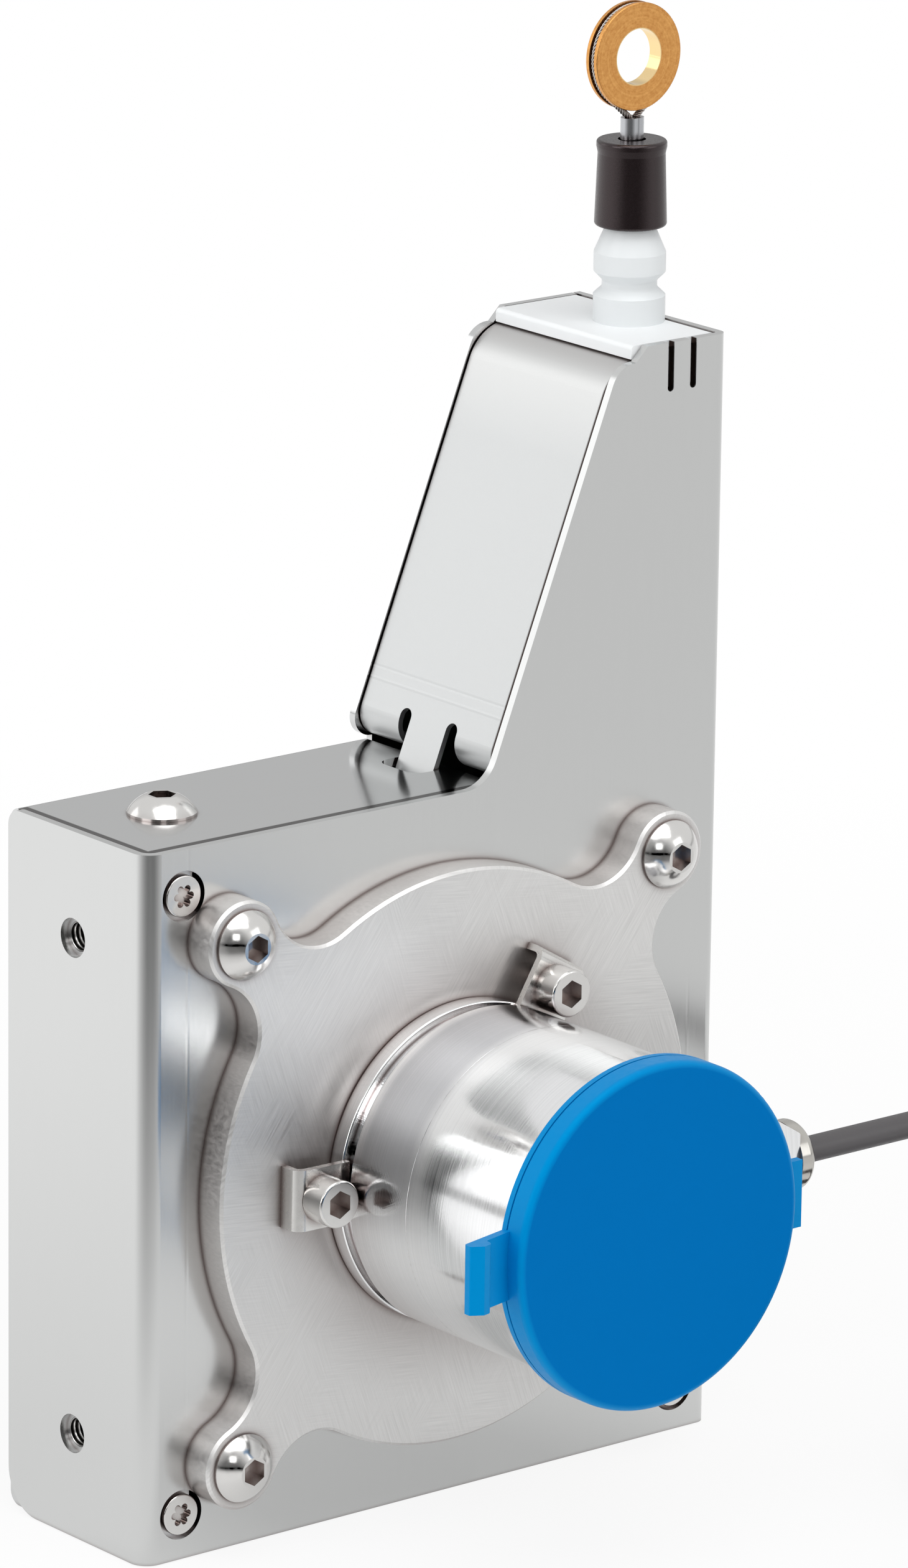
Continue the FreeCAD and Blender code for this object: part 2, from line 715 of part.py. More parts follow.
def flange_outline():
    """Edges of the flange's outline: a disc, four round arms and the fillets between."""
    diagonal = hypot(ARM_OFFSET, ARM_OFFSET)
    to_fillet = FLANGE_R + ARM_FILLET
    arm_to_fillet = ARM_R + ARM_FILLET
    swing = acos((diagonal ** 2 + to_fillet ** 2 - arm_to_fillet ** 2) / (2 * diagonal * to_fillet))
    lean = asin(to_fillet * sin(swing) / arm_to_fillet)
    quarter = pi / 2
    marks = []
    for k in range(4):
        mid = quarter * k + quarter / 2
        arm = (diagonal * cos(mid), diagonal * sin(mid))
        for turn in (-1, 1):
            toward = mid + turn * swing
            centre = (to_fillet * cos(toward), to_fillet * sin(toward))
            on_disc = (FLANGE_R * cos(toward), FLANGE_R * sin(toward))
            to_arm = atan2(arm[1] - centre[1], arm[0] - centre[0])
            on_arm = (centre[0] + ARM_FILLET * cos(to_arm), centre[1] + ARM_FILLET * sin(to_arm))
            inward = atan2((on_disc[1] + on_arm[1]) / 2 - centre[1], (on_disc[0] + on_arm[0]) / 2 - centre[0])
            hollow = (centre[0] + ARM_FILLET * cos(inward), centre[1] + ARM_FILLET * sin(inward))
            fillet = (on_disc, hollow, on_arm)
            marks.append(fillet if turn < 0 else fillet[::-1])
        tip = (arm[0] + ARM_R * cos(mid), arm[1] + ARM_R * sin(mid))
        marks.insert(len(marks) - 1, (marks[-2][2], tip, marks[-1][0]))
    arcs = []
    for k in range(4):
        arcs += marks[3 * k:3 * k + 3]
        flat = quarter * (k + 1)
        crown = (FLANGE_R * cos(flat), FLANGE_R * sin(flat))
        arcs.append((marks[3 * k + 2][2], crown, marks[(3 * k + 3) % 12][0]))
    return arcs


def flange_plate():
    """Thick four-armed plate that carries the encoder and the drum's front bearing."""
    edges = []
    for arc in flange_outline():
        points = [vec(u, SEAT_Y, AXIS_Z + v) for u, v in arc]
        edges.append(Part.Arc(*points).toShape())
    plate = Part.Face(Part.Wire(edges)).extrude(vec(0, FLANGE_T, 0))
    rim = [edge for edge in plate.Edges if edge.BoundBox.YMax < SEAT_Y + FLANGE_EDGE]
    plate = plate.makeChamfer(FLANGE_EDGE, rim)
    plate = fused([plate, rod_y(HUB_R, 0, AXIS_Z, -1, HUB_LENGTH)])
    cutters = [rod_y(COUPLING_ROOM_R, 0, AXIS_Z, SEAT_Y - 1, BEARING_FRONT_Y + 1)]
    cutters.append(rod_y(BEARING_R, 0, AXIS_Z, BEARING_FRONT_Y, HUB_LENGTH + 1))
    for x, z in arm_points():
        cutters.append(rod_y(M6_R + M6_CLEAR, x, z, SEAT_Y - 1, 1))
    for x, z in clamp_points():
        cutters.append(rod_y(M5_R, x, z, SEAT_Y - 1, SEAT_Y + M5_GRIP))
    return without(plate, cutters)


def button_head(x, z, seat_y, length):
    """Domed hexagon-socket screw that points back along Y."""
    crown = seat_y - BUTTON_H
    edge_y = seat_y - BUTTON_EDGE
    centre_y = edge_y + (BUTTON_DOME_R ** 2 - BUTTON_R ** 2) ** 0.5
    flat_r = (BUTTON_DOME_R ** 2 - (centre_y - crown) ** 2) ** 0.5
    mid_r = (flat_r + BUTTON_R) / 2
    mid_y = centre_y - (BUTTON_DOME_R ** 2 - mid_r ** 2) ** 0.5
    edges = [
        Part.LineSegment(vec(x, crown, z), vec(x + flat_r, crown, z)).toShape(),
        Part.Arc(vec(x + flat_r, crown, z), vec(x + mid_r, mid_y, z), vec(x + BUTTON_R, edge_y, z)).toShape(),
        Part.LineSegment(vec(x + BUTTON_R, edge_y, z), vec(x + BUTTON_R, seat_y, z)).toShape(),
        Part.LineSegment(vec(x + BUTTON_R, seat_y, z), vec(x, seat_y, z)).toShape(),
        Part.LineSegment(vec(x, seat_y, z), vec(x, crown, z)).toShape(),
    ]
    head = Part.Face(Part.Wire(edges)).revolve(vec(x, 0, z), Y_AXIS, 360)
    screw = fused([head, rod_y(M6_R, x, z, seat_y - 1, seat_y + length)])
    return screw.cut(hex_y(BUTTON_HEX, x, z, crown - 1, crown + BUTTON_HEX_DEPTH))


def flange_screws():
    """Four domed screws through the flange's arms."""
    length = FLANGE_T + SHEET + NUT_H + SCREW_PAST_NUT
    return Part.makeCompound([button_head(x, z, SEAT_Y, length) for x, z in arm_points()])


def flange_nuts():
    """Four nuts behind the front wall."""
    nuts = []
    for x, z in arm_points():
        nut = hex_y(NUT_AF, x, z, SHEET, SHEET + NUT_H)
        nuts.append(nut.cut(rod_y(M6_R, x, z, 0, SHEET + NUT_H + 1)))
    return Part.makeCompound(nuts)


def star_socket(x, z, y):
    """Six-pointed recess of a corner screw, from Y = y inwards."""
    arms = []
    half = STAR_W / 2
    reach = STAR_R - half
    bar = [
        (-reach - half, -half, half * 0.98),
        (reach + half, -half, half * 0.98),
        (reach + half, half, half * 0.98),
        (-reach - half, half, half * 0.98),
    ]
    for k in range(3):
        arm = plate_xz(bar, y - 1, y + STAR_DEPTH)
        arm.rotate(vec(0, 0, 0), Y_AXIS, 60 * k)
        arm.translate(vec(x, 0, z))
        arms.append(arm)
    return fused(arms)


def corner_screws():
    """Three low-head screws sunk in the front wall's corner holes."""
    screws = []
    for x, z in corner_points():
        head = turned_y([
            (0, SHEET - CORNER_HEAD_H, 0),
            (CORNER_HEAD_R, SHEET - CORNER_HEAD_H, 0.25),
            (CORNER_HEAD_R, SHEET, 0),
            (0, SHEET, 0),
        ], x, z)
        screw = fused([head, rod_y(CORNER_SHANK_R, x, z, SHEET - 0.5, SHEET + CORNER_LENGTH)])
        screws.append(screw.cut(star_socket(x, z, SHEET - CORNER_HEAD_H)))
    return Part.makeCompound(screws)


def top_screw():
    """Domed screw through the lid."""
    screw = button_head(0, 0, 0, TOP_SCREW_LENGTH)
    screw.rotate(vec(0, 0, 0), X_AXIS, -90)
    screw.translate(vec(TOP_SCREW_X, TOP_SCREW_Y, LID_TOP))
    return screw


def bored_for_corner(piece, x, z):
    """Piece with the hole for a corner screw."""
    return piece.cut(rod_y(CORNER_SHANK_R, x, z, SHEET - 1, SHEET + CORNER_LENGTH))


def wall_block(x0, x1, bend, low, high):
    """Block from the front wall to the back wall that clears the bends on its outer side."""
    near, far = sorted((x0, x1))
    round_at = {x0: bend, x1: 0}
    plan = [(near, SHEET, round_at[near]), (far, SHEET, round_at[far]), (far, BACK_IN, 0), (near, BACK_IN, 0)]
    side = [(SHEET, low, 0), (BACK_IN, low, BEND_REAR), (BACK_IN, high, BEND_REAR), (SHEET, high, 0)]
    return plate_xy(plan, low, high).common(plate_yz(side, near, far))


def upper_block():
    """Threaded block in the upper left corner, with a foot under the lid."""
    left = LEFT_IN
    low = LID_UNDER - BLOCK_TALL
    body = wall_block(left, left + BLOCK_W, BEND_LEFT, low, LID_UNDER)
    foot = block(
        left + BLOCK_W - 1, FOOT_END_X,
        TOP_SCREW_Y - FOOT_SIDE, TOP_SCREW_Y + FOOT_SIDE,
        FOOT_LOW, LID_UNDER,
    )
    piece = bored_for_corner(fused([body, foot]), *corner_points()[0])
    cutters = [rod_x(M6_TAP_R, MID_Y, side_hole_heights()[1], left - 1, left + BLOCK_W + 1)]
    low = LID_TOP - TOP_SCREW_LENGTH
    cutters.append(rod_z(M6_R, TOP_SCREW_X, TOP_SCREW_Y, low, LID_UNDER + 1))
    return without(piece, cutters)


def lower_block():
    """Threaded block in the lower left corner."""
    left = LEFT_IN
    body = wall_block(left, left + BLOCK_W, BEND_LEFT, SHEET, SHEET + BLOCK_TALL)
    piece = bored_for_corner(body, *corner_points()[1])
    return piece.cut(rod_x(M6_TAP_R, MID_Y, side_hole_heights()[0], left - 1, left + BLOCK_W + 1))


def corner_post():
    """Threaded block in the lower right corner."""
    right = RIGHT_IN
    body = wall_block(right, right - BLOCK_W, BEND_RIGHT, SHEET, SHEET + POST_TALL)
    return bored_for_corner(body, *corner_points()[2])


def encoder_base():
    """Lower half of the encoder body, with the clamping groove and the board's pillars."""
    groove_y = SEAT_Y - LIP_H
    groove_end = groove_y - GROOVE_H
    floor_y = SEAT_Y - BASE_PLATE_T
    end_y = SEAT_Y - BASE_LENGTH
    seat_y = floor_y + 0.7
    cavity_r = ENC_R - ENC_WALL - GROOVE_DEPTH / 2
    profile = [
        (SHAFT_HOLE_R, SEAT_Y, 0),
        (ENC_R, SEAT_Y, 0.3),
        (ENC_R, groove_y, 0.3),
        (ENC_R - GROOVE_DEPTH, groove_y, 0),
        (ENC_R - GROOVE_DEPTH, groove_end, 0),
        (ENC_R, groove_end, 0.3),
        (ENC_R, end_y, 0),
        (cavity_r, end_y, 0),
        (cavity_r, floor_y, 0),
        (ENC_BEARING_R, floor_y, 0),
        (ENC_BEARING_R, seat_y + ENC_BEARING_W, 0),
        (SHAFT_HOLE_R, seat_y + ENC_BEARING_W, 0),
    ]
    pieces = [turned_y(profile)]
    for k in range(PILLAR_COUNT):
        angle = 2 * pi * k / PILLAR_COUNT + pi / 6
        x = PILLAR_PCR * cos(angle)
        z = AXIS_Z + PILLAR_PCR * sin(angle)
        pieces.append(rod_y(PILLAR_R, x, z, -BOARD_AT, floor_y + 1))
    return fused(pieces)


def encoder_housing():
    """Outer half of the encoder body, a closed cup with the teardrop outlet nose."""
    start_y = SEAT_Y - BASE_LENGTH
    cavity_r = ENC_R - ENC_WALL
    cup = rod_y(ENC_R, 0, AXIS_Z, ENC_END_Y, start_y)
    half = NOSE_FLAT_H / 2
    reach = hypot(NOSE_REACH, half)
    tangent = atan2(half, NOSE_REACH) + acos(ENC_R / reach)
    touch = (ENC_R * cos(tangent), ENC_R * sin(tangent))
    outline = [
        (0, AXIS_Z - touch[1], 0),
        (touch[0], AXIS_Z - touch[1], 0),
        (NOSE_REACH, AXIS_Z - half, 0.6),
        (NOSE_REACH, AXIS_Z + half, 0.6),
        (touch[0], AXIS_Z + touch[1], 0),
        (0, AXIS_Z + touch[1], 0),
    ]
    back_y = SEAT_Y - NOSE_BACK
    nose = plate_xz(outline, back_y - NOSE_T, back_y)
    hollow = rod_y(cavity_r, 0, AXIS_Z, ENC_END_Y + END_WALL_T, start_y + 1)
    cable_hole = rod_x(CABLE_R + CABLE_ROOM, GLAND_Y, AXIS_Z, 0, NOSE_REACH + 1)
    return without(fused([cup, nose]), [hollow, cable_hole])


def clamp_points():
    """Centres of the servo clamps' screws as (x, z)."""
    places = []
    for k in range(CLAMP_COUNT):
        angle = CLAMP_START + 2 * pi * k / CLAMP_COUNT
        places.append((CLAMP_R * cos(angle), AXIS_Z + CLAMP_R * sin(angle)))
    return places


def servo_clamps():
    """Three bent sheet clamps that reach over the encoder's lip into its groove."""
    top = LIP_H + CLAMP_T
    path = [(CLAMP_INNER, top, 0), (CLAMP_OUTER, top, CLAMP_BEND_R), (CLAMP_OUTER, 0, 0)]
    outline = ribbon(path, -CLAMP_T)
    clamps = []
    for k in range(CLAMP_COUNT):
        face = Part.Face(rounded_wire(outline, lambda u, v: vec(u, SEAT_Y - v, -CLAMP_W / 2)))
        clamp = face.extrude(vec(0, 0, CLAMP_W))
        clamp = clamp.cut(rod_y(M5_R, CLAMP_R, 0, SEAT_Y - top - 1, SEAT_Y))
        angle = CLAMP_START + 2 * pi * k / CLAMP_COUNT
        clamp.rotate(vec(0, 0, 0), Y_AXIS, -angle * 180 / pi)
        clamp.translate(vec(0, 0, AXIS_Z))
        clamps.append(clamp)
    return Part.makeCompound(clamps)


def clamp_screws():
    """Three socket head screws on the servo clamps."""
    under = SEAT_Y - LIP_H - CLAMP_T
    screws = []
    for x, z in clamp_points():
        head = turned_y([
            (0, under - M5_HEAD_H, 0),
            (M5_HEAD_R, under - M5_HEAD_H, 0.4),
            (M5_HEAD_R, under, 0),
            (0, under, 0),
        ], x, z)
        screw = fused([head, rod_y(M5_R, x, z, under - 1, SEAT_Y + M5_GRIP)])
        screws.append(screw.cut(hex_y(M5_HEX, x, z, under - M5_HEAD_H - 1, under - M5_HEAD_H + M5_HEX_DEPTH)))
    return Part.makeCompound(screws)


def protective_cap():
    """Slip-on cap with a parting line round its rim, a beaded pull tab and a short lug."""
    back_y = ENC_END_Y + CAP_SKIRT
    inner_r = CAP_IN_R
    face_y = ENC_END_Y - CAP_SLIP
    line_back = back_y - CAP_LINE_BACK
    line_front = line_back - CAP_LINE_W
    profile = [
        (0, CAP_FRONT_Y, 0),
        (CAP_R, CAP_FRONT_Y, CAP_EDGE_R),
        (CAP_R, line_front, 0),
        (CAP_R - CAP_LINE_DEPTH, line_front, 0),
        (CAP_R - CAP_LINE_DEPTH, line_back, 0),
        (CAP_R, line_back, 0),
        (CAP_R, back_y, 0),
        (inner_r, back_y, 0),
        (inner_r, face_y, 0),
        (0, face_y, 0),
    ]
    pieces = [turned_y(profile)]
    low = AXIS_Z - CLIP_H / 2
    root = inner_r + CAP_SLIP
    tab_y = back_y - CLIP_BACK
    reach = CAP_R + PULL_OUT
    lean = PULL_LEAN / (reach - root)
    bead_in = reach - BEAD_W
    neck_y = tab_y - CLIP_T
    tab = [
        (-root, tab_y, 0),
        (-root, neck_y, 0),
        (-bead_in, neck_y - lean * (bead_in - root), 0.4),
        (-bead_in - 0.3, neck_y - lean * (bead_in - root) - BEAD_T + 0.4, 1.1),
        (-bead_in - BEAD_W * 0.5, neck_y - lean * (bead_in - root) - BEAD_T, 0),
        (-reach, tab_y - PULL_LEAN - CLIP_T, 0.5),
        (-reach, tab_y - PULL_LEAN, 0.5),
    ]
    pieces.append(plate_xy(tab, low, low + CLIP_H))
    pieces.append(block(root, CAP_R + LUG_OUT, neck_y, tab_y, low, low + CLIP_H))
    return fused(pieces)


def gland_nut():
    """Round nut of the cable outlet on the nose's flat."""
    end = NOSE_REACH + GLAND_LENGTH
    return turned_x([
        (SEAL_R, NOSE_REACH, 0),
        (GLAND_R, NOSE_REACH, 0),
        (GLAND_R, NOSE_REACH + GLAND_RIM, 1.6),
        (GLAND_END_R, end, 0.6),
        (SEAL_R, end, 0),
    ], GLAND_Y, AXIS_Z)


def gland_seal():
    """Rubber seal that closes the nut round the cable."""
    return rod_x(SEAL_R, GLAND_Y, AXIS_Z, NOSE_REACH, NOSE_REACH + GLAND_LENGTH - SEAL_SINK)


def bearing_outer(outer_r, ring_t, inner_r, y0, width):
    """Outer ring of a ball bearing with its two shields."""
    race_r = outer_r - ring_t
    shield_r = inner_r + ring_t + SHIELD_GAP
    ring = tube_y(outer_r, race_r, y0, y0 + width)
    front = tube_y(race_r + 0.5, shield_r, y0, y0 + SHIELD_T)
    back = tube_y(race_r + 0.5, shield_r, y0 + width - SHIELD_T, y0 + width)
    return fused([ring, front, back])


def front_bearing_outer():
    """Fixed ring of the drum's front bearing, in the flange's hub."""
    return bearing_outer(BEARING_R, RING_T, SHAFT_R, BEARING_FRONT_Y, BEARING_W)


def front_bearing_inner():
    """Turning ring of the drum's front bearing."""
    return tube_y(SHAFT_R + RING_T, SHAFT_R, BEARING_FRONT_Y, BEARING_FRONT_Y + BEARING_W)


def rear_bearing_outer():
    """Fixed ring of the drum's rear bearing, in its holder."""
    return bearing_outer(BEARING_R, RING_T, SHAFT_R, HOLDER_Y, BEARING_W)


def rear_bearing_inner():
    """Turning ring of the drum's rear bearing."""
    return tube_y(SHAFT_R + RING_T, SHAFT_R, HOLDER_Y, HOLDER_Y + BEARING_W)


def rear_bearing_holder():
    """Cup on the back wall that holds the rear bearing."""
    cup = rod_y(HOLDER_R, 0, AXIS_Z, HOLDER_Y, BACK_IN)
    return cup.cut(rod_y(BEARING_R, 0, AXIS_Z, HOLDER_Y - 1, HOLDER_Y + BEARING_W))


def encoder_bearing_place():
    """Y where the encoder's bearing starts."""
    return SEAT_Y - BASE_PLATE_T + 0.7


def encoder_bearing_outer():
    """Fixed ring of the encoder's bearing."""
    return bearing_outer(ENC_BEARING_R, ENC_RING_T, ENC_SHAFT_R, encoder_bearing_place(), ENC_BEARING_W)


def encoder_bearing_inner():
    """Turning ring of the encoder's bearing."""
    y0 = encoder_bearing_place()
    return tube_y(ENC_SHAFT_R + ENC_RING_T, ENC_SHAFT_R, y0, y0 + ENC_BEARING_W)


def drum():
    """Flanged wire drum with a drilled web."""
    hub_y = WEB_Y - DRUM_HUB_AHEAD
    rim_in = DRUM_R - DRUM_RIM_T
    end = DRUM_Y + DRUM_WIDTH
    profile = [
        (SHAFT_R, hub_y, 0),
        (DRUM_HUB_R, hub_y, 0),
        (DRUM_HUB_R, WEB_Y, 0),
        (rim_in, WEB_Y, 0),
        (rim_in, DRUM_Y, 0),
        (DRUM_FLANGE_R, DRUM_Y, 0),
        (DRUM_FLANGE_R, DRUM_Y + DRUM_FLANGE_T, 0),
        (DRUM_R, DRUM_Y + DRUM_FLANGE_T, 0),
        (DRUM_R, end - DRUM_FLANGE_T, 0),
        (DRUM_FLANGE_R, end - DRUM_FLANGE_T, 0),
        (DRUM_FLANGE_R, end, 0),
        (rim_in, end, 0),
        (rim_in, WEB_Y + WEB_T, 0),
        (DRUM_HUB_R, WEB_Y + WEB_T, 0),
        (DRUM_HUB_R, hub_y + DRUM_HUB_L, 0),
        (SHAFT_R, hub_y + DRUM_HUB_L, 0),
    ]
    holes = []
    for k in range(WEB_HOLES):
        angle = 2 * pi * k / WEB_HOLES
        x = WEB_HOLE_PCR * cos(angle)
        z = AXIS_Z + WEB_HOLE_PCR * sin(angle)
        holes.append(rod_y(WEB_HOLE_R, x, z, WEB_Y - 1, WEB_Y + WEB_T + 1))
    return without(turned_y(profile), holes)


def drum_shaft():
    """Stepped steel shaft through both bearings, the drum and the spring."""
    hub_end = WEB_Y - DRUM_HUB_AHEAD + DRUM_HUB_L
    arbor_start = hub_end + ARBOR_GAP
    arbor_end = HOLDER_Y - CASE_BACK_T
    end = HOLDER_Y + BEARING_W - SHAFT_END_GAP
    return turned_y([
        (0, -SHAFT_MEET, 0),
        (JOURNAL_R, -SHAFT_MEET, 0),
        (JOURNAL_R, BEARING_FRONT_Y, 0),
        (SHAFT_R, BEARING_FRONT_Y, 0),
        (SHAFT_R, arbor_start, 0),
        (ARBOR_R, arbor_start, 0),
        (ARBOR_R, arbor_end, 0),
        (SHAFT_R, arbor_end, 0),
        (SHAFT_R, end, 0),
        (0, end, 0),
    ])


def wire_winding():
    """Layer of wire wound on the drum."""
    y0 = DRUM_Y + DRUM_FLANGE_T + WIND_GAP
    y1 = DRUM_Y + DRUM_WIDTH - DRUM_FLANGE_T - WIND_GAP
    inner = DRUM_R + WIND_SEAT
    return tube_y(inner + 2 * WIRE_R, inner, y0, y1)


def spring_case():
    """Closed case of the return spring, on the bearing holder."""
    y1 = HOLDER_Y
    return turned_y([
        (CASE_LID_HOLE, CASE_Y, 0),
        (CASE_R, CASE_Y, 0),
        (CASE_R, y1, 0),
        (CASE_BACK_HOLE, y1, 0),
        (CASE_BACK_HOLE, y1 - CASE_BACK_T, 0),
        (CASE_R - CASE_WALL, y1 - CASE_BACK_T, 0),
        (CASE_R - CASE_WALL, CASE_Y + CASE_LID_T, 0),
        (CASE_LID_HOLE, CASE_Y + CASE_LID_T, 0),
    ])


def spiral_spring():
    """Flat spiral spring drawn as half circles about two centres."""
    y0 = CASE_Y + CASE_LID_T + SPRING_SIDE_GAP
    y1 = HOLDER_Y - CASE_BACK_T - SPRING_SIDE_GAP
    step = SPRING_STEP
    sides = {1: [], -1: []}
    for k in range(SPRING_HALF_TURNS):
        centre = step if k % 2 else 0.0
        up = -1 if k % 2 else 1
        radius = SPRING_IN_R + SPRING_T / 2 + k * step
        for side in sides:
            r = radius + side * SPRING_T / 2
            ends = [vec(centre + up * r, y0, AXIS_Z), vec(centre - up * r, y0, AXIS_Z)]
            crown = vec(centre, y0, AXIS_Z + up * r)
            sides[side].append((ends[0], crown, ends[1]))
    edges = [Part.Arc(*arc).toShape() for arc in sides[1]]
    edges.append(Part.LineSegment(sides[1][-1][2], sides[-1][-1][2]).toShape())
    edges += [Part.Arc(*arc[::-1]).toShape() for arc in sides[-1][::-1]]
    edges.append(Part.LineSegment(sides[-1][0][0], sides[1][0][0]).toShape())
    return Part.Face(Part.Wire(edges)).extrude(vec(0, y1 - y0, 0))


def shaft_coupling():
    """Sleeve that joins the drum's journal to the encoder's shaft."""
    y0 = SEAT_Y + COUPLING_GAP
    y1 = -COUPLING_GAP
    return turned_y([
        (ENC_SHAFT_R, y0, 0),
        (COUPLING_R, y0, 0.4),
        (COUPLING_R, y1, 0.4),
        (JOURNAL_R, y1, 0),
        (JOURNAL_R, -SHAFT_MEET, 0),
        (ENC_SHAFT_R, -SHAFT_MEET, 0),
    ])


def encoder_shaft():
    """Shaft of the encoder, from the coupling to the code disc."""
    return rod_y(ENC_SHAFT_R, 0, AXIS_Z, -DISC_AT - DISC_T - ENC_SHAFT_PAST, -SHAFT_MEET)


def code_disc():
    """Code disc and its hub on the encoder's shaft."""
    disc = tube_y(DISC_R, ENC_SHAFT_R, -DISC_AT - DISC_T, -DISC_AT)
    hub = tube_y(DISC_HUB_R, ENC_SHAFT_R, -DISC_AT, -DISC_AT + DISC_HUB_T)
    return fused([disc, hub])


def circuit_board():
    """Circuit board on the pillars, with its reading head and two chips."""
    board = rod_y(BOARD_R, 0, AXIS_Z, -BOARD_AT - BOARD_T, -BOARD_AT)
    head_x = (DISC_R + DISC_HUB_R) / 2
    near = -DISC_AT - DISC_T - HEAD_GAP
    pieces = [board]
    pieces.append(block(
        head_x - HEAD_W / 2, head_x + HEAD_W / 2, -BOARD_AT, near,
        AXIS_Z - HEAD_W / 2, AXIS_Z + HEAD_W / 2,
    ))
    for x in (-CHIP_W, CHIP_W):
        front = -BOARD_AT - BOARD_T - CHIP_T
        pieces.append(block(
            x - CHIP_W / 2, x + CHIP_W / 2, front, -BOARD_AT - BOARD_T,
            AXIS_Z - CHIP_W / 2, AXIS_Z + CHIP_W / 2,
        ))
    return fused(pieces)


def rope_stop():
    """Rubber stop that lands on the nozzle when the wire is drawn in."""
    cone = turned_z([
        (0, STOP_BASE, 0),
        (STOP_BASE_R, STOP_BASE, STOP_EDGE_R),
        (STOP_WAIST_R, STOP_TOP - 2 * STOP_LIP, 0),
        (STOP_TOP_R, STOP_TOP - STOP_LIP, 0.3),
        (STOP_TOP_R, STOP_TOP, STOP_EDGE_R),
        (0, STOP_TOP, 0),
    ], WIRE_X, WIRE_Y)
    pocket = rod_z(STOP_POCKET_R, WIRE_X, WIRE_Y, STOP_TOP - STOP_POCKET_H, STOP_TOP + 1)
    hole = rod_z(WIRE_R, WIRE_X, WIRE_Y, STOP_BASE - 1, STOP_TOP)
    return without(cone, [pocket, hole])


def ferrule():
    """Pressed double ferrule that closes the wire's loop."""
    low = STOP_TOP - STOP_POCKET_H
    barrels = [rod_z(FERRULE_R, WIRE_X + s * FERRULE_OFFSET, WIRE_Y, low, FERRULE_TOP) for s in (-1, 1)]
    return fused(barrels)


def wire_run():
    """Straight run of the wire, from the drum to the ferrule."""
    return rod_z(WIRE_R, WIRE_X, WIRE_Y, WIRE_LOW_Z, STOP_TOP - STOP_POCKET_H)


def rope_loop():
    """Wire laid round the eye's groove, with both legs in the ferrule."""
    lay = EYE_R - EYE_GROOVE_DEPTH + WIRE_R + LOOP_SLACK
    foot = (FERRULE_OFFSET, FERRULE_TOP - EYE_Z)
    reach = hypot(*foot)
    touch = atan2(foot[1], foot[0]) + acos(lay / reach)
    low = (lay * cos(touch), lay * sin(touch))

    def at(u, v):
        return vec(WIRE_X + u, WIRE_Y, EYE_Z + v)

    path = Part.Wire([
        Part.LineSegment(at(*foot), at(*low)).toShape(),
        Part.Arc(at(*low), at(0, lay), at(-low[0], low[1])).toShape(),
        Part.LineSegment(at(-low[0], low[1]), at(-foot[0], foot[1])).toShape(),
    ])
    ahead = at(*low) - at(*foot)
    section = Part.Wire(Part.makeCircle(WIRE_R, at(*foot), ahead))
    return path.makePipeShell([section], True, False)


def eye_ring():
    """Brass thimble ring with a groove for the wire."""
    half = EYE_T / 2
    groove = EYE_GROOVE_W / 2
    return turned_y([
        (EYE_HOLE_R, WIRE_Y - half, 0),
        (EYE_R, WIRE_Y - half, 0.15),
        (EYE_R, WIRE_Y - groove, 0),
        (EYE_R - EYE_GROOVE_DEPTH, WIRE_Y - groove, 0),
        (EYE_R - EYE_GROOVE_DEPTH, WIRE_Y + groove, 0),
        (EYE_R, WIRE_Y + groove, 0),
        (EYE_R, WIRE_Y + half, 0.15),
        (EYE_HOLE_R, WIRE_Y + half, 0),
    ], WIRE_X, EYE_Z)


def bent_tube(points, radius):
    """Round tube along straight runs joined by tangent arcs, and its length."""
    edges = []
    length = 0.0
    last = points[0]
    for before, here, after in zip(points, points[1:], points[2:]):
        back = before - here
        ahead = after - here
        shorter = min(back.Length, ahead.Length)
        back.normalize()
        ahead.normalize()
        half = back.getAngle(ahead) / 2
        cut = ARC_SHARE * shorter
        bend = cut * tan(half)
        print("cable arc radius %.1f mm" % bend)
        middle = back + ahead
        middle.normalize()
        start = here + back * cut
        crown = here + middle * (bend / sin(half) - bend)
        end = here + ahead * cut
        edges.append(Part.LineSegment(last, start).toShape())
        edges.append(Part.Arc(start, crown, end).toShape())
        length += last.distanceToPoint(start) + bend * (pi - 2 * half)
        last = end
    edges.append(Part.LineSegment(last, points[-1]).toShape())
    length += last.distanceToPoint(points[-1])
    section = Part.Wire(Part.makeCircle(radius, points[0], points[1] - points[0]))
    return Part.Wire(edges).makePipeShell([section], True, False), length


def cable():
    """Cable from the gland down to the coil."""
    points = [vec(NOSE_REACH + GLAND_LENGTH - SEAL_SINK, GLAND_Y, AXIS_Z)]
    points += [vec(*p) for p in CABLE_POINTS]
    tube, length = bent_tube(points, CABLE_R)
    print("cable tube %.1f mm, volume ratio %.4f" % (length, tube.Volume / (pi * CABLE_R ** 2 * length)))
    return tube


def cable_coil():
    """Put-away coil of the cable's remaining length, lying flat."""
    return turned_z([
        (COIL_IN_R, 0, CABLE_R),
        (COIL_OUT_R, 0, CABLE_R),
        (COIL_OUT_R, COIL_H, CABLE_R),
        (COIL_IN_R, COIL_H, CABLE_R),
    ], COIL_X, COIL_Y)


def cable_tail():
    """Short straight end of the cable from the coil to the plug."""
    y = COIL_Y - COIL_LANE_R
    return rod_x(CABLE_R, y, PLUG_R, COIL_X - TAIL_OUT, COIL_X + TAIL_IN)


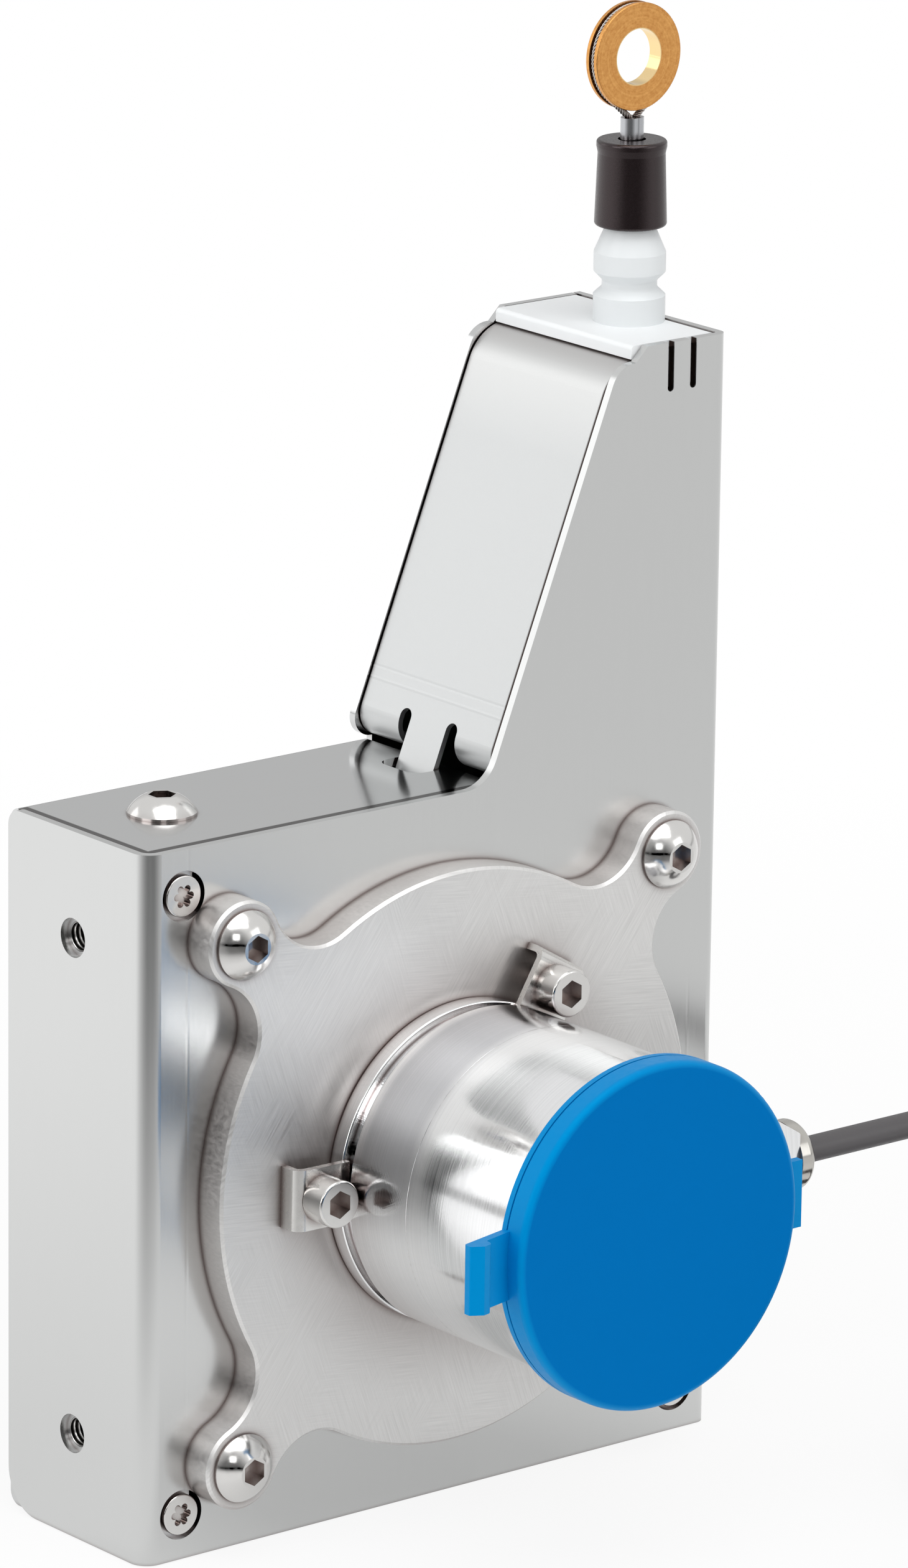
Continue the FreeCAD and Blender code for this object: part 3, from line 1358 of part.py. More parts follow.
def plug_profile():
    """Plug outline from its boot at 0 to its open nose, as (radius, distance, fillet)."""
    neck_end = PLUG_BOOT_L + PLUG_NECK_L
    body_end = neck_end + PLUG_BODY_L
    floor = PLUG_LENGTH - PIN_LENGTH - 1
    return [
        (0, 0, 0),
        (PLUG_BOOT_R, 0, 0.4),
        (PLUG_NOSE_R, PLUG_BOOT_L, 0),
        (PLUG_R, neck_end, 0),
        (PLUG_R, body_end, 0),
        (PLUG_NOSE_R, body_end + 1, 0),
        (PLUG_NOSE_R, PLUG_LENGTH, 0.2),
        (PLUG_NOSE_R - PLUG_WALL, PLUG_LENGTH, 0),
        (PLUG_NOSE_R - PLUG_WALL, floor, 0),
        (0, floor, 0),
    ]


def plug_start():
    """Point where the cable enters the plug."""
    return vec(COIL_X - TAIL_OUT, COIL_Y - COIL_LANE_R, PLUG_R)


def plug_body():
    """Moulded snap-in plug at the cable's far end."""
    return turned(plug_profile(), plug_start(), X_AXIS * -1, Z_AXIS)


def plug_pins():
    """Contact pins in the plug's nose."""
    start = plug_start()
    floor = PLUG_LENGTH - PIN_LENGTH - 1
    pins = []
    for k in range(PIN_COUNT):
        angle = pi / 4 + 2 * pi * k / PIN_COUNT
        base = start + vec(-floor, PIN_PCR * cos(angle), PIN_PCR * sin(angle))
        pins.append(Part.makeCylinder(PIN_R, PIN_LENGTH, base, X_AXIS * -1))
    return Part.makeCompound(pins)


PIECES = (
    front_shell, rear_shell, tower_cover, wire_guide, guide_nozzle, guide_eyelet,
    flange_plate, flange_screws, flange_nuts, corner_screws, top_screw,
    upper_block, lower_block, corner_post,
    encoder_base, encoder_housing, servo_clamps, clamp_screws,
    gland_nut, gland_seal, circuit_board, protective_cap,
    front_bearing_outer, rear_bearing_outer, encoder_bearing_outer, rear_bearing_holder,
    spring_case, spiral_spring,
    drum, drum_shaft, wire_winding, shaft_coupling, encoder_shaft, code_disc,
    front_bearing_inner, rear_bearing_inner, encoder_bearing_inner,
    eye_ring, rope_loop, ferrule, rope_stop, wire_run,
    cable, cable_coil, cable_tail, plug_body, plug_pins,
)


def main():
    """Write every piece to its own file."""
    os.makedirs("parts", exist_ok=True)
    for make in PIECES:
        shape = make()
        shape.translate(vec(0, MOVE_Y, 0))
        if not shape.isValid() or shape.Volume <= 0:
            print("not a sound solid:", make.__name__)
        print("%s: %d solids, %.0f mm3" % (make.__name__, len(shape.Solids), shape.Volume))
        shape.exportStep("parts/%s.step" % make.__name__)
    print("origin moved by %.3f mm in Y, eye at Z %.2f mm" % (MOVE_Y, EYE_Z))


main()
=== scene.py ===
# %% [markdown]
# # Draw wire encoder in Blender
# The object is a measuring instrument. A thin wire is pulled up out of a sheet
# steel housing, a drum inside turns with it, and a rotary encoder on the front
# reads the angle. The solids come in as finished meshes, so this lesson is
# about finishes, the cable, the wire rope and the light.

import bpy
import numpy as np
from mathutils import Matrix

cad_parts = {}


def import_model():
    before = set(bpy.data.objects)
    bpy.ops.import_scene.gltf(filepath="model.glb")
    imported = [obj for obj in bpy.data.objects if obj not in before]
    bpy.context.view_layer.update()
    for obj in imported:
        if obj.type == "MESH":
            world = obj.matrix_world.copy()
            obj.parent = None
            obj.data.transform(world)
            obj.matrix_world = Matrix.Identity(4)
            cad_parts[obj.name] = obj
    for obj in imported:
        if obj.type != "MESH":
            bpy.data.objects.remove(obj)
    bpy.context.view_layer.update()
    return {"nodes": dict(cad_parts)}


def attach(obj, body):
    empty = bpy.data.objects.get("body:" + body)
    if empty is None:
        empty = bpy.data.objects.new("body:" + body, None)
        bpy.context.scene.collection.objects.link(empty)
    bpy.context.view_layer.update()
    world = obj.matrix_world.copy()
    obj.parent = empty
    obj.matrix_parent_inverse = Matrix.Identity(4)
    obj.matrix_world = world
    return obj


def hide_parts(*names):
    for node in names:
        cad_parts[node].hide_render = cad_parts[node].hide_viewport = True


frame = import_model()
nodes = frame["nodes"]

# %% [markdown]
# ## Camera
# The photograph was taken with a long lens, a little above the object and to
# the left of its front. The place, the three directions of the camera and the
# focal length were solved from the housing's corners, so they are written as
# numbers. A rotation matrix with right, up and back as its columns is the
# plainest way to hand them over.

# %% Camera
RIGHT = (0.77797, -0.62818, 0.01244)
UP = (0.15995, 0.21716, 0.96294)
BACK = (-0.60761, -0.74715, 0.26942)
PLACE = (-0.97335, -1.19060, 0.56285)
FOCAL_PIXELS = 14880.66
IMAGE_HEIGHT = 2520
SENSOR_HEIGHT = 24.0


def turned_to(right, up, back, place):
    """Matrix that puts a camera or a lamp at a place, with these three directions."""
    return Matrix.Translation(place) @ Matrix((right, up, back)).transposed().to_4x4()


camera = bpy.data.objects.new("camera", bpy.data.cameras.new("camera"))
bpy.context.scene.collection.objects.link(camera)
camera.matrix_world = turned_to(RIGHT, UP, BACK, PLACE)
camera.data.sensor_fit = "VERTICAL"
camera.data.sensor_height = SENSOR_HEIGHT
camera.data.lens = SENSOR_HEIGHT * FOCAL_PIXELS / IMAGE_HEIGHT
camera.data.clip_end = 50.0
bpy.context.scene.camera = camera
bpy.context.scene.view_settings.view_transform = "Standard"
print("lens %.1f mm" % camera.data.lens)

# %% [markdown]
# ## Helpers for nodes
# Every finish is one Principled shader with a few texture nodes in front of it.
# One helper adds a node and fills its sockets with numbers or with links. The
# others name the steps that come back again and again: where a point is, how
# far it is from a place, and a value carried from one range to another.
# Everything reads Object coordinates, which are metres in the object's own
# frame, so a pattern stays on its piece when the piece moves.

# %% Helpers for nodes
MM = 0.001


def mm(*numbers):
    """Lengths in millimetres as metres."""
    return tuple(number * MM for number in numbers)


def put(tree, kind, settings=None, **inputs):
    """New node with its settings, and its sockets filled by a value or a link.

    A socket is called by its name, or by n_0, n_1 and so on for its number.
    """
    node = tree.nodes.new(kind)
    for key, value in (settings or {}).items():
        setattr(node, key, value)
    for key, value in inputs.items():
        socket = node.inputs[int(key[2:]) if key.startswith("n_") else key.replace("_", " ")]
        if isinstance(value, bpy.types.NodeSocket):
            tree.links.new(value, socket)
        else:
            socket.default_value = value
    return node


def place_of(tree):
    """Object coordinates of the point."""
    return put(tree, "ShaderNodeTexCoord").outputs["Object"]


def split(tree, vector):
    """X, Y and Z of a vector, by name."""
    return put(tree, "ShaderNodeSeparateXYZ", Vector=vector).outputs


def maths(tree, operation, first, second=0.0, third=0.0):
    """One Math node."""
    node = put(tree, "ShaderNodeMath", {"operation": operation}, n_0=first, n_1=second, n_2=third)
    return node.outputs[0]


def product(tree, first, *others):
    """All the values multiplied."""
    for other in others:
        first = maths(tree, "MULTIPLY", first, other)
    return first


def vector_maths(tree, operation, *vectors):
    """One Vector Math node, whose result is a number for a length or a dot product."""
    node = put(tree, "ShaderNodeVectorMath", {"operation": operation})
    for socket, vector in zip(node.inputs, vectors):
        if isinstance(vector, bpy.types.NodeSocket):
            tree.links.new(vector, socket)
        else:
            socket.default_value = vector
    return node.outputs["Value" if operation in ("LENGTH", "DOT_PRODUCT") else "Vector"]


def spread(tree, value, low, high, to_low, to_high):
    """Value carried from one range to another and held at its ends."""
    return put(
        tree, "ShaderNodeMapRange",
        Value=value, From_Min=low, From_Max=high, To_Min=to_low, To_Max=to_high,
    ).outputs["Result"]


def past(tree, value, span):
    """0 before a span and 1 past it."""
    return spread(tree, value, *span, 0.0, 1.0)


def before(tree, value, span):
    """1 before a span and 0 past it."""
    return spread(tree, value, *span, 1.0, 0.0)


def ridge(tree, value, place, width, height):
    """Height at a place, which falls to nothing a width away on both sides."""
    aside = maths(tree, "ABSOLUTE", maths(tree, "SUBTRACT", value, place))
    return spread(tree, aside, 0.0, width, height, 0.0)


def between(tree, factor, first, second):
    """Number between two numbers or links."""
    return put(tree, "ShaderNodeMix", Factor=factor, A=first, B=second).outputs[0]


def blended(tree, factor, first, second, kind="MIX"):
    """Colour between two, each of which is three numbers or a link."""
    node = put(tree, "ShaderNodeMix", {"data_type": "RGBA", "blend_type": kind}, Factor=factor)
    for key, colour in (("A", first), ("B", second)):
        if isinstance(colour, bpy.types.NodeSocket):
            tree.links.new(colour, node.inputs[key])
        else:
            node.inputs[key].default_value = (*colour, 1.0)
    return node.outputs["Result"]


print("lengths are in metres, and one millimetre is", MM)

# %% [markdown]
# ## Helpers for textures and finishes
# A noise texture gives values around one half. Most of them lie between 0.3 and
# 0.7, so that range is carried to the one that a finish needs. Coordinates that
# are scaled apart turn the noise into strokes. They are turned first, because a
# scale along the object's own axes could only give strokes along those axes.
# Where two pieces meet, the colour gets a painted shade. An Ambient Occlusion
# node tells how closed a corner is, and the colour is darkened by it.

# %% Helpers for textures and finishes
NOISE_RANGE = (0.3, 0.7)
CORNER_PAINTED_SHADE = (0.42, 0.36, 0.35)


def noise(tree, vector, scale, detail=2.0, rough=0.5):
    """Noise from 0 to 1 at so many cells to the metre."""
    node = put(tree, "ShaderNodeTexNoise", Vector=vector, Scale=scale, Detail=detail, Roughness=rough)
    return node.outputs["Fac"]


def sway(tree, value, low, high):
    """The noise's usual range carried to another."""
    return spread(tree, value, *NOISE_RANGE, low, high)


def stretched(tree, vector, scales, turn=(0.0, 0.0, 0.0)):
    """Coordinates turned and then scaled apart, so that noise on them becomes strokes."""
    turned = put(tree, "ShaderNodeMapping", Vector=vector, Rotation=turn).outputs["Vector"]
    return put(tree, "ShaderNodeMapping", Vector=turned, Scale=scales).outputs["Vector"]


def start_finish(name, colour, metallic=0.0, roughness=0.5):
    """New material, its node tree and its Principled shader."""
    material = bpy.data.materials.new(name)
    material.use_nodes = True
    tree = material.node_tree
    shader = tree.nodes["Principled BSDF"]
    shader.inputs["Base Color"].default_value = (*colour, 1.0)
    shader.inputs["Metallic"].default_value = metallic
    shader.inputs["Roughness"].default_value = roughness
    return material, tree, shader


def colour_of(shader):
    """The link or the three numbers that give the shader its colour."""
    socket = shader.inputs["Base Color"]
    return socket.links[0].from_socket if socket.is_linked else tuple(socket.default_value)[:3]


def drive(tree, shader, **links):
    """The shader's named inputs take these links."""
    for key, link in links.items():
        tree.links.new(link, shader.inputs[key.replace("_", " ")])


def bump(tree, shader, height, distance=1.0):
    """Height times a distance in metres becomes the shader's normal."""
    node = put(tree, "ShaderNodeBump", Height=height, Distance=distance)
    drive(tree, shader, Normal=node.outputs["Normal"])


def shade_in_corners(tree, shader, reach, tint=CORNER_PAINTED_SHADE, span=(0.45, 0.95)):
    """Painted shade: darker colour where a neighbour stands within reach."""
    open_share = put(tree, "ShaderNodeAmbientOcclusion", {"samples": 6}, Distance=reach).outputs["AO"]
    closed = before(tree, open_share, span)
    drive(tree, shader, Base_Color=blended(tree, closed, colour_of(shader), tint, "MULTIPLY"))


def wear(names, material):
    """The CAD nodes of these names take one finish."""
    for name in names:
        slots = nodes[name].material_slots
        if not slots:
            nodes[name].data.materials.append(material)
        for slot in slots:
            slot.material = material
    print(material.name, "on", ", ".join(names))


# %% [markdown]
# ## Satin stainless sheet
# The housing is bent from stainless sheet with a fine satin surface. The mill
# leaves hair-thin strokes along the sheet, which blur a reflection sideways
# more than lengthways. Noise stretched along one axis gives those strokes, and
# a slow second noise keeps the sheen from being even. The press that bent the
# sheet left faint marks beside the bends, which are shallow dents in the bump.

# %% Satin stainless sheet
PRESS_WIDTH = 0.45 * MM
PRESS_DEPTH = 0.012 * MM


def satin_sheet(name, colour, roughness, scales, depth, marks=()):
    """Metal with strokes along the axis whose scale is smallest, and press marks at (axis, place)."""
    material, tree, shader = start_finish(name, colour, 1.0, roughness)
    here = place_of(tree)
    strokes = noise(tree, stretched(tree, here, scales), 1.0, 3.0, 0.6)
    clouds = noise(tree, here, 22.0)
    worn = maths(tree, "ADD", sway(tree, strokes, -0.012, 0.012), roughness)
    worn = maths(tree, "ADD", worn, sway(tree, clouds, -0.02, 0.02))
    dull, bright = [tuple(share * c for c in colour) for share in (0.98, 1.02)]
    drive(tree, shader, Roughness=worn, Base_Color=blended(tree, strokes, dull, bright))
    height = product(tree, strokes, depth)
    parts = split(tree, here)
    for axis, place in marks:
        dent = ridge(tree, parts[axis], place, PRESS_WIDTH, -PRESS_DEPTH)
        height = maths(tree, "ADD", height, dent)
    bump(tree, shader, height)
    # Painted shade in the corners.
    shade_in_corners(tree, shader, reach=1.2 * MM, span=(0.4, 0.85))
    return material, tree, shader


print("press marks %.2f mm wide and %.3f mm deep" % (2.0 * PRESS_WIDTH / MM, PRESS_DEPTH / MM))

# %% [markdown]
# ## Housing and lid
# Two slots at the tower's top let the white guide snap in. They are narrow and
# deep, so hardly any light comes out of them, and their walls are made dark by
# their place. The lid mirrors more sharply than the front, because its surface
# is smoother. It ends in a narrow gap at the front plate and the left wall. The
# plate's rim hides that gap from the camera, and the thin dark line that is
# seen along it comes from the lid's own shaded edge, so the lid is dark there.

# %% Housing and lid
PRESS_MARKS = (("X", -54.8 * MM), ("X", 57.6 * MM), ("Y", 18.4 * MM))
SLOT_PLACES = mm(50.95, 56.05)
SLOT_SIDES = mm(0.65, 0.75)
BEHIND_FRONT = mm(10.2, 10.4)
ABOVE_SLOTS_FOOT = mm(180.0, 182.0)
SLOT_SHADE = (0.035, 0.02, 0.016)
LID_FRONT_EDGE = mm(14.1, 14.4)
LID_SIDE_EDGE = mm(-60.5, -60.2)
LID_BACK = mm(48.5, 49.0)
LID_TOP = mm(125.4, 125.6)
SEAM_SHADE = (0.03, 0.025, 0.024)

housing_steel, tree, shader = satin_sheet(
    "housing_steel", (0.65, 0.655, 0.65), roughness=0.24,
    scales=(3600.0, 3600.0, 130.0), depth=0.0005 * MM, marks=PRESS_MARKS,
)
parts = split(tree, place_of(tree))
offsets = [
    maths(tree, "ABSOLUTE", maths(tree, "SUBTRACT", parts["X"], slot_x)) for slot_x in SLOT_PLACES
]
slots = before(tree, maths(tree, "MINIMUM", *offsets), SLOT_SIDES)
inside = past(tree, parts["Y"], BEHIND_FRONT)
high = past(tree, parts["Z"], ABOVE_SLOTS_FOOT)
walls = product(tree, slots, inside, high)
drive(tree, shader, Base_Color=blended(tree, walls, colour_of(shader), SLOT_SHADE))
wear(["front_shell"], housing_steel)

lid_steel, tree, shader = satin_sheet(
    "lid_steel", (0.62, 0.625, 0.625), roughness=0.13,
    scales=(130.0, 3600.0, 3600.0), depth=0.0004 * MM,
)
parts = split(tree, place_of(tree))
front_line = before(tree, parts["Y"], LID_FRONT_EDGE)
side_line = before(tree, parts["X"], LID_SIDE_EDGE)
ahead = before(tree, parts["Y"], LID_BACK)
on_top = past(tree, parts["Z"], LID_TOP)
line = product(tree, maths(tree, "MAXIMUM", front_line, side_line), ahead, on_top)
drive(tree, shader, Base_Color=blended(tree, line, colour_of(shader), SEAM_SHADE))
wear(["rear_shell"], lid_steel)

# %% [markdown]
# ## Blasted cover
# The strip down the slope was blasted with glass beads. That gives a pale even
# skin without any direction, so it gets a fine round noise and a high roughness.
# Two creases cross it near its foot, one raised and one pressed in. At its top
# it bends over, and there it gets a painted highlight up to the bend and a
# painted shade past it. Along the front plate's rim it has a thin line of
# painted shade, for the joint between the two, which the rim hides.

# %% Blasted cover
COVER_TONE = (0.61, 0.62, 0.62)
CURL_PAINTED_HIGHLIGHT = (0.69, 0.695, 0.69)
CURL_TOP_PAINTED_SHADE = (0.55, 0.54, 0.535)
CURL_START = mm(182.0, 194.5)
CURL_TOP = mm(196.6, 199.2)
BEAD_DEPTH = 0.0022 * MM
COVER_EDGE = mm(12.5, 12.85)
EDGE_SHADE = (0.05, 0.037, 0.033)
CREASES = (mm(138.9, 0.03), mm(140.9, -0.03))
CREASE_WIDTH = 0.35 * MM

cover_steel, tree, shader = start_finish("cover_steel", COVER_TONE, 1.0, 0.40)
here = place_of(tree)
parts = split(tree, here)
beads = noise(tree, here, 4200.0)
height = product(tree, beads, BEAD_DEPTH)
for crease_z, crease_height in CREASES:
    height = maths(tree, "ADD", height, ridge(tree, parts["Z"], crease_z, CREASE_WIDTH, crease_height))
bump(tree, shader, height)
# Painted highlight up to the bend, painted shade past it, painted shade line at the rim.
tone = blended(tree, past(tree, parts["Z"], CURL_START), COVER_TONE, CURL_PAINTED_HIGHLIGHT)
tone = blended(tree, past(tree, parts["Z"], CURL_TOP), tone, CURL_TOP_PAINTED_SHADE)
tone = blended(tree, before(tree, parts["Y"], COVER_EDGE), tone, EDGE_SHADE)
drive(tree, shader, Roughness=sway(tree, beads, 0.37, 0.44), Base_Color=tone)
# Painted shade in the corners.
shade_in_corners(tree, shader, reach=1.4 * MM)
wear(["tower_cover"], cover_steel)

# %% [markdown]
# ## Hand-ground flange
# The flange plate was ground with an abrasive pad that went round in all
# directions. Three sets of stretched noise, each turned another way, are mixed
# by a slow noise, so that strokes of different directions lie side by side.
# Corners get a painted shade, and round the encoder a second, wide painted
# corner shade darkens the flange in a halo.

# %% Hand-ground flange
STROKE_SCALES = (3400.0, 800.0, 110.0)
STROKE_SETS = ((0.35, 0.0), (1.45, 0.7), (2.5, 1.3))
GROUND_DEPTH = 0.0035 * MM
GROUND_DARK = (0.73, 0.725, 0.715)
GROUND_LIGHT = (0.85, 0.845, 0.835)
ENCODER_HALO_PAINTED_SHADE = (0.66, 0.62, 0.61)

flange_metal, tree, shader = start_finish("flange_metal", (0.79, 0.785, 0.775), 1.0, 0.44)
here = place_of(tree)
strokes = []
for turn, shift in STROKE_SETS:
    spot = vector_maths(tree, "ADD", here, (shift, shift, shift))
    strokes.append(noise(tree, stretched(tree, spot, STROKE_SCALES, (0.0, turn, 0.0)), 1.0, 3.0))
patches = past(tree, noise(tree, here, 60.0, 1.0), (0.42, 0.58))
others = past(tree, noise(tree, here, 90.0, 1.0), (0.45, 0.6))
ground = between(tree, others, between(tree, patches, strokes[0], strokes[1]), strokes[2])
tone = blended(tree, past(tree, ground, NOISE_RANGE), GROUND_DARK, GROUND_LIGHT)
drive(tree, shader, Roughness=sway(tree, ground, 0.38, 0.50), Base_Color=tone)
bump(tree, shader, ground, GROUND_DEPTH)
# Painted shade in the corners, and a wide painted shade round the encoder.
shade_in_corners(tree, shader, reach=1.4 * MM)
shade_in_corners(tree, shader, reach=16.0 * MM, tint=ENCODER_HALO_PAINTED_SHADE, span=(0.5, 0.97))
wear(["flange_plate"], flange_metal)

# %% [markdown]
# ## Turned encoder body
# The encoder's body was turned on a lathe about the Y axis. A lathe leaves
# rings, which only change along the axis and with the radius, so the noise
# reads those two numbers and nothing else. A fine groove marks the joint of
# base and housing. Behind it, towards the flange, the skin was rubbed by hand
# and carries crossed strokes, and its upper side there gets a painted shade.
# The strokes are laid on the skin as if it were rolled out flat, with the angle
# times the body's radius as one coordinate and Y as the other.

# %% Turned encoder body
AXIS = mm(0.0, 0.0, 64.0)
BODY_RADIUS = 29.0 * MM
BODY_JOINT = -17.85 * MM
JOINT_SOFTNESS = 2.0 * MM
JOINT_WIDTH = 0.12 * MM
JOINT_DEPTH = 0.012 * MM
UPPER_SIDE = mm(-5.0, 12.0)
PAST_LIP = mm(-4.5, -3.0)
UPPER_PAINTED_SHADE = (0.67, 0.67, 0.69)
STROKE_DEPTH = 0.004 * MM
CROSSED_STROKES = ((0.5, (2600.0, 160.0, 1.0)), (-0.9, (3000.0, 220.0, 1.0)))


def round_axis(tree, centre):
    """Place from a centre, by name, and distance from the line along Y through it."""
    away = split(tree, vector_maths(tree, "SUBTRACT", place_of(tree), centre))
    flat = put(tree, "ShaderNodeCombineXYZ", X=away["X"], Z=away["Z"]).outputs[0]
    return away, vector_maths(tree, "LENGTH", flat)


def rubbed_and_shaded(tree, shader, away, height, joint):
    """Joint groove, upper zone behind it in painted shade, crossed strokes; returns the new height."""
    groove = ridge(tree, away["Y"], joint, JOINT_WIDTH, -JOINT_DEPTH)
    height = maths(tree, "ADD", height, groove)
    behind = spread(tree, away["Y"], joint - JOINT_SOFTNESS, joint + JOINT_SOFTNESS, 0.12, 1.0)
    upper = past(tree, away["Z"], UPPER_SIDE)
    # The upper side behind the joint gets a painted shade.
    zone = product(tree, behind, upper, before(tree, away["Y"], PAST_LIP))
    drive(tree, shader, Base_Color=blended(tree, zone, colour_of(shader), UPPER_PAINTED_SHADE, "MULTIPLY"))
    round_it = product(tree, maths(tree, "ARCTAN2", away["Z"], away["X"]), BODY_RADIUS)
    skin = put(tree, "ShaderNodeCombineXYZ", X=round_it, Y=away["Y"]).outputs[0]
    for lean, scales in CROSSED_STROKES:
        strokes = noise(tree, stretched(tree, skin, scales, (0.0, 0.0, lean)), 1.0)
        cut = product(tree, spread(tree, strokes, 0.45, 0.75, 0.0, STROKE_DEPTH), behind)
        height = maths(tree, "SUBTRACT", height, cut)
    return height


def turned_metal(name, colour, roughness, centre, depth, joint=None):
    """Metal with lathe rings about Y through the centre; rubbed, with painted shade, behind a joint."""
    material, tree, shader = start_finish(name, colour, 1.0, roughness)
    away, radius = round_axis(tree, centre)
    rings = put(tree, "ShaderNodeCombineXYZ", X=radius, Y=away["Y"]).outputs[0]
    lines = noise(tree, rings, 3200.0, 3.0, 0.6)
    bands = noise(tree, rings, 160.0)
    fade = spread(tree, noise(tree, place_of(tree), 140.0, 3.0, 0.6), 0.35, 0.7, 0.25, 1.0)
    worn = maths(tree, "ADD", sway(tree, lines, -0.03, 0.03), roughness)
    worn = maths(tree, "ADD", worn, sway(tree, bands, -0.04, 0.04))
    dull, bright = [tuple(share * c for c in colour) for share in (0.93, 1.05)]
    tone = blended(tree, past(tree, lines, NOISE_RANGE), dull, bright)
    drive(tree, shader, Roughness=worn, Base_Color=tone)
    height = product(tree, lines, fade, depth)
    if joint is not None:
        height = rubbed_and_shaded(tree, shader, away, height, joint)
    bump(tree, shader, height)
    # Painted shade in the corners.
    shade_in_corners(tree, shader, reach=1.0 * MM)
    return material


encoder_metal = turned_metal(
    "encoder_metal", (0.90, 0.905, 0.91), 0.15, AXIS, depth=0.0035 * MM, joint=BODY_JOINT,
)
wear(["encoder_base", "encoder_housing"], encoder_metal)
inner_metal = turned_metal("inner_metal", (0.70, 0.70, 0.70), 0.3, AXIS, depth=0.004 * MM)
wear(["drum", "shaft_coupling", "rear_bearing_holder", "drum_shaft", "encoder_shaft"], inner_metal)

# %% [markdown]
# ## Small metal pieces
# Screws are polished stainless steel, the clamps are bright strip, the gland is
# nickel plated and the ferrule is soft aluminium. Each differs from the next
# mostly by its colour and by how sharp its reflections are, and a little noise
# in the roughness keeps them from looking like glass. The screws get a wide
# corner shade, which darkens the bottom of their sockets.

# %% Small metal pieces
GRAIN_SCALE = 900.0
GRAIN_DEPTH = 0.0015 * MM


def plain_metal(name, colour, low, high, reach=1.8 * MM):
    """Metal whose roughness wanders between two values."""
    material, tree, shader = start_finish(name, colour, 1.0, low)
    grain = noise(tree, place_of(tree), GRAIN_SCALE, 3.0)
    drive(tree, shader, Roughness=sway(tree, grain, low, high))
    bump(tree, shader, grain, GRAIN_DEPTH)
    # Painted shade in the corners.
    shade_in_corners(tree, shader, reach)
    return material


screw_steel = plain_metal("screw_steel", (0.72, 0.71, 0.695), 0.13, 0.22, reach=3.4 * MM)
wear(["flange_screws", "flange_nuts", "corner_screws", "top_screw", "clamp_screws"], screw_steel)
clamp_steel = plain_metal("clamp_steel", (0.74, 0.73, 0.71), 0.16, 0.30)
wear(["servo_clamps"], clamp_steel)
gland_nickel = plain_metal("gland_nickel", (0.55, 0.535, 0.50), 0.12, 0.2)
wear(["gland_nut"], gland_nickel)
ferrule_metal = plain_metal("ferrule_metal", (0.50, 0.51, 0.53), 0.14, 0.26)
wear(["ferrule"], ferrule_metal)
block_metal = plain_metal("block_metal", (0.60, 0.60, 0.60), 0.25, 0.4)
wear(["corner_post"], block_metal)
bearing_steel = plain_metal("bearing_steel", (0.66, 0.66, 0.67), 0.12, 0.2)
wear([
    "front_bearing_outer", "front_bearing_inner", "rear_bearing_outer", "rear_bearing_inner",
    "encoder_bearing_outer", "encoder_bearing_inner", "spiral_spring", "wire_winding", "wire_run",
], bearing_steel)

# %% [markdown]
# ## Tapped holes
# The two blocks behind the left wall are drilled and tapped for M6 screws. The
# turns of a thread are a ramp along the hole plus one turn of the angle round
# it, so a triangle wave of that sum draws the crests and the roots, with a
# painted highlight on the crests and a painted shade in the roots. Both holes
# use one formula, because the height is wrapped by the pitch of the holes.

# %% Tapped holes
HOLE_Y = 30.65 * MM
HOLE_Z = 19.0 * MM
HOLE_PITCH = 90.0 * MM
HOLE_WALL = mm(2.6, 2.7)
THREAD_PITCH = 1.0 * MM
THREAD_DEPTH = 0.3 * MM
BLOCK_TONE = (0.60, 0.60, 0.60)
ROOT_PAINTED_SHADE = (0.03, 0.027, 0.026)
CREST_PAINTED_HIGHLIGHT = (0.86, 0.85, 0.83)

tapped_metal, tree, shader = start_finish("tapped_metal", BLOCK_TONE, 1.0, 0.3)
parts = split(tree, place_of(tree))
across = maths(tree, "SUBTRACT", parts["Y"], HOLE_Y)
above = maths(tree, "SUBTRACT", parts["Z"], HOLE_Z)
upright = maths(tree, "WRAP", above, HOLE_PITCH / 2, -HOLE_PITCH / 2)
flat = put(tree, "ShaderNodeCombineXYZ", Y=across, Z=upright).outputs[0]
inside = before(tree, vector_maths(tree, "LENGTH", flat), HOLE_WALL)
turns = product(tree, maths(tree, "ARCTAN2", upright, across), 0.5 / np.pi)
along = maths(tree, "DIVIDE", parts["X"], THREAD_PITCH)
crest = product(tree, maths(tree, "PINGPONG", maths(tree, "ADD", along, turns), 0.5), 2.0)
# Painted highlight on the crests and painted shade in the roots.
thread = blended(tree, past(tree, crest, (0.3, 0.8)), ROOT_PAINTED_SHADE, CREST_PAINTED_HIGHLIGHT)
drive(tree, shader, Base_Color=blended(tree, inside, BLOCK_TONE, thread))
bump(tree, shader, product(tree, crest, inside), THREAD_DEPTH)
wear(["upper_block", "lower_block"], tapped_metal)

# %% [markdown]
# ## Brass ring
# The pull ring's faces are matte and a little tarnished, while its bore is
# polished by the hook and shows the yellow of clean brass. One finish does
# both: colour and roughness change where the distance from the ring's centre
# passes the bore's edge. Fine rings from the lathe read that distance too.

# %% Brass ring
RING_CENTRE = mm(56.4, 28.45, 249.35)
BORE_EDGE = mm(5.25, 5.45)
BORE_ROUGHNESS = 0.12
BORE_TONE = (0.93, 0.70, 0.36)
BRASS_DARK = (0.60, 0.26, 0.070)
BRASS_LIGHT = (0.83, 0.44, 0.142)
BRASS_CORNER_PAINTED_SHADE = (0.35, 0.24, 0.16)
MOTTLE_DEPTH = 0.006 * MM

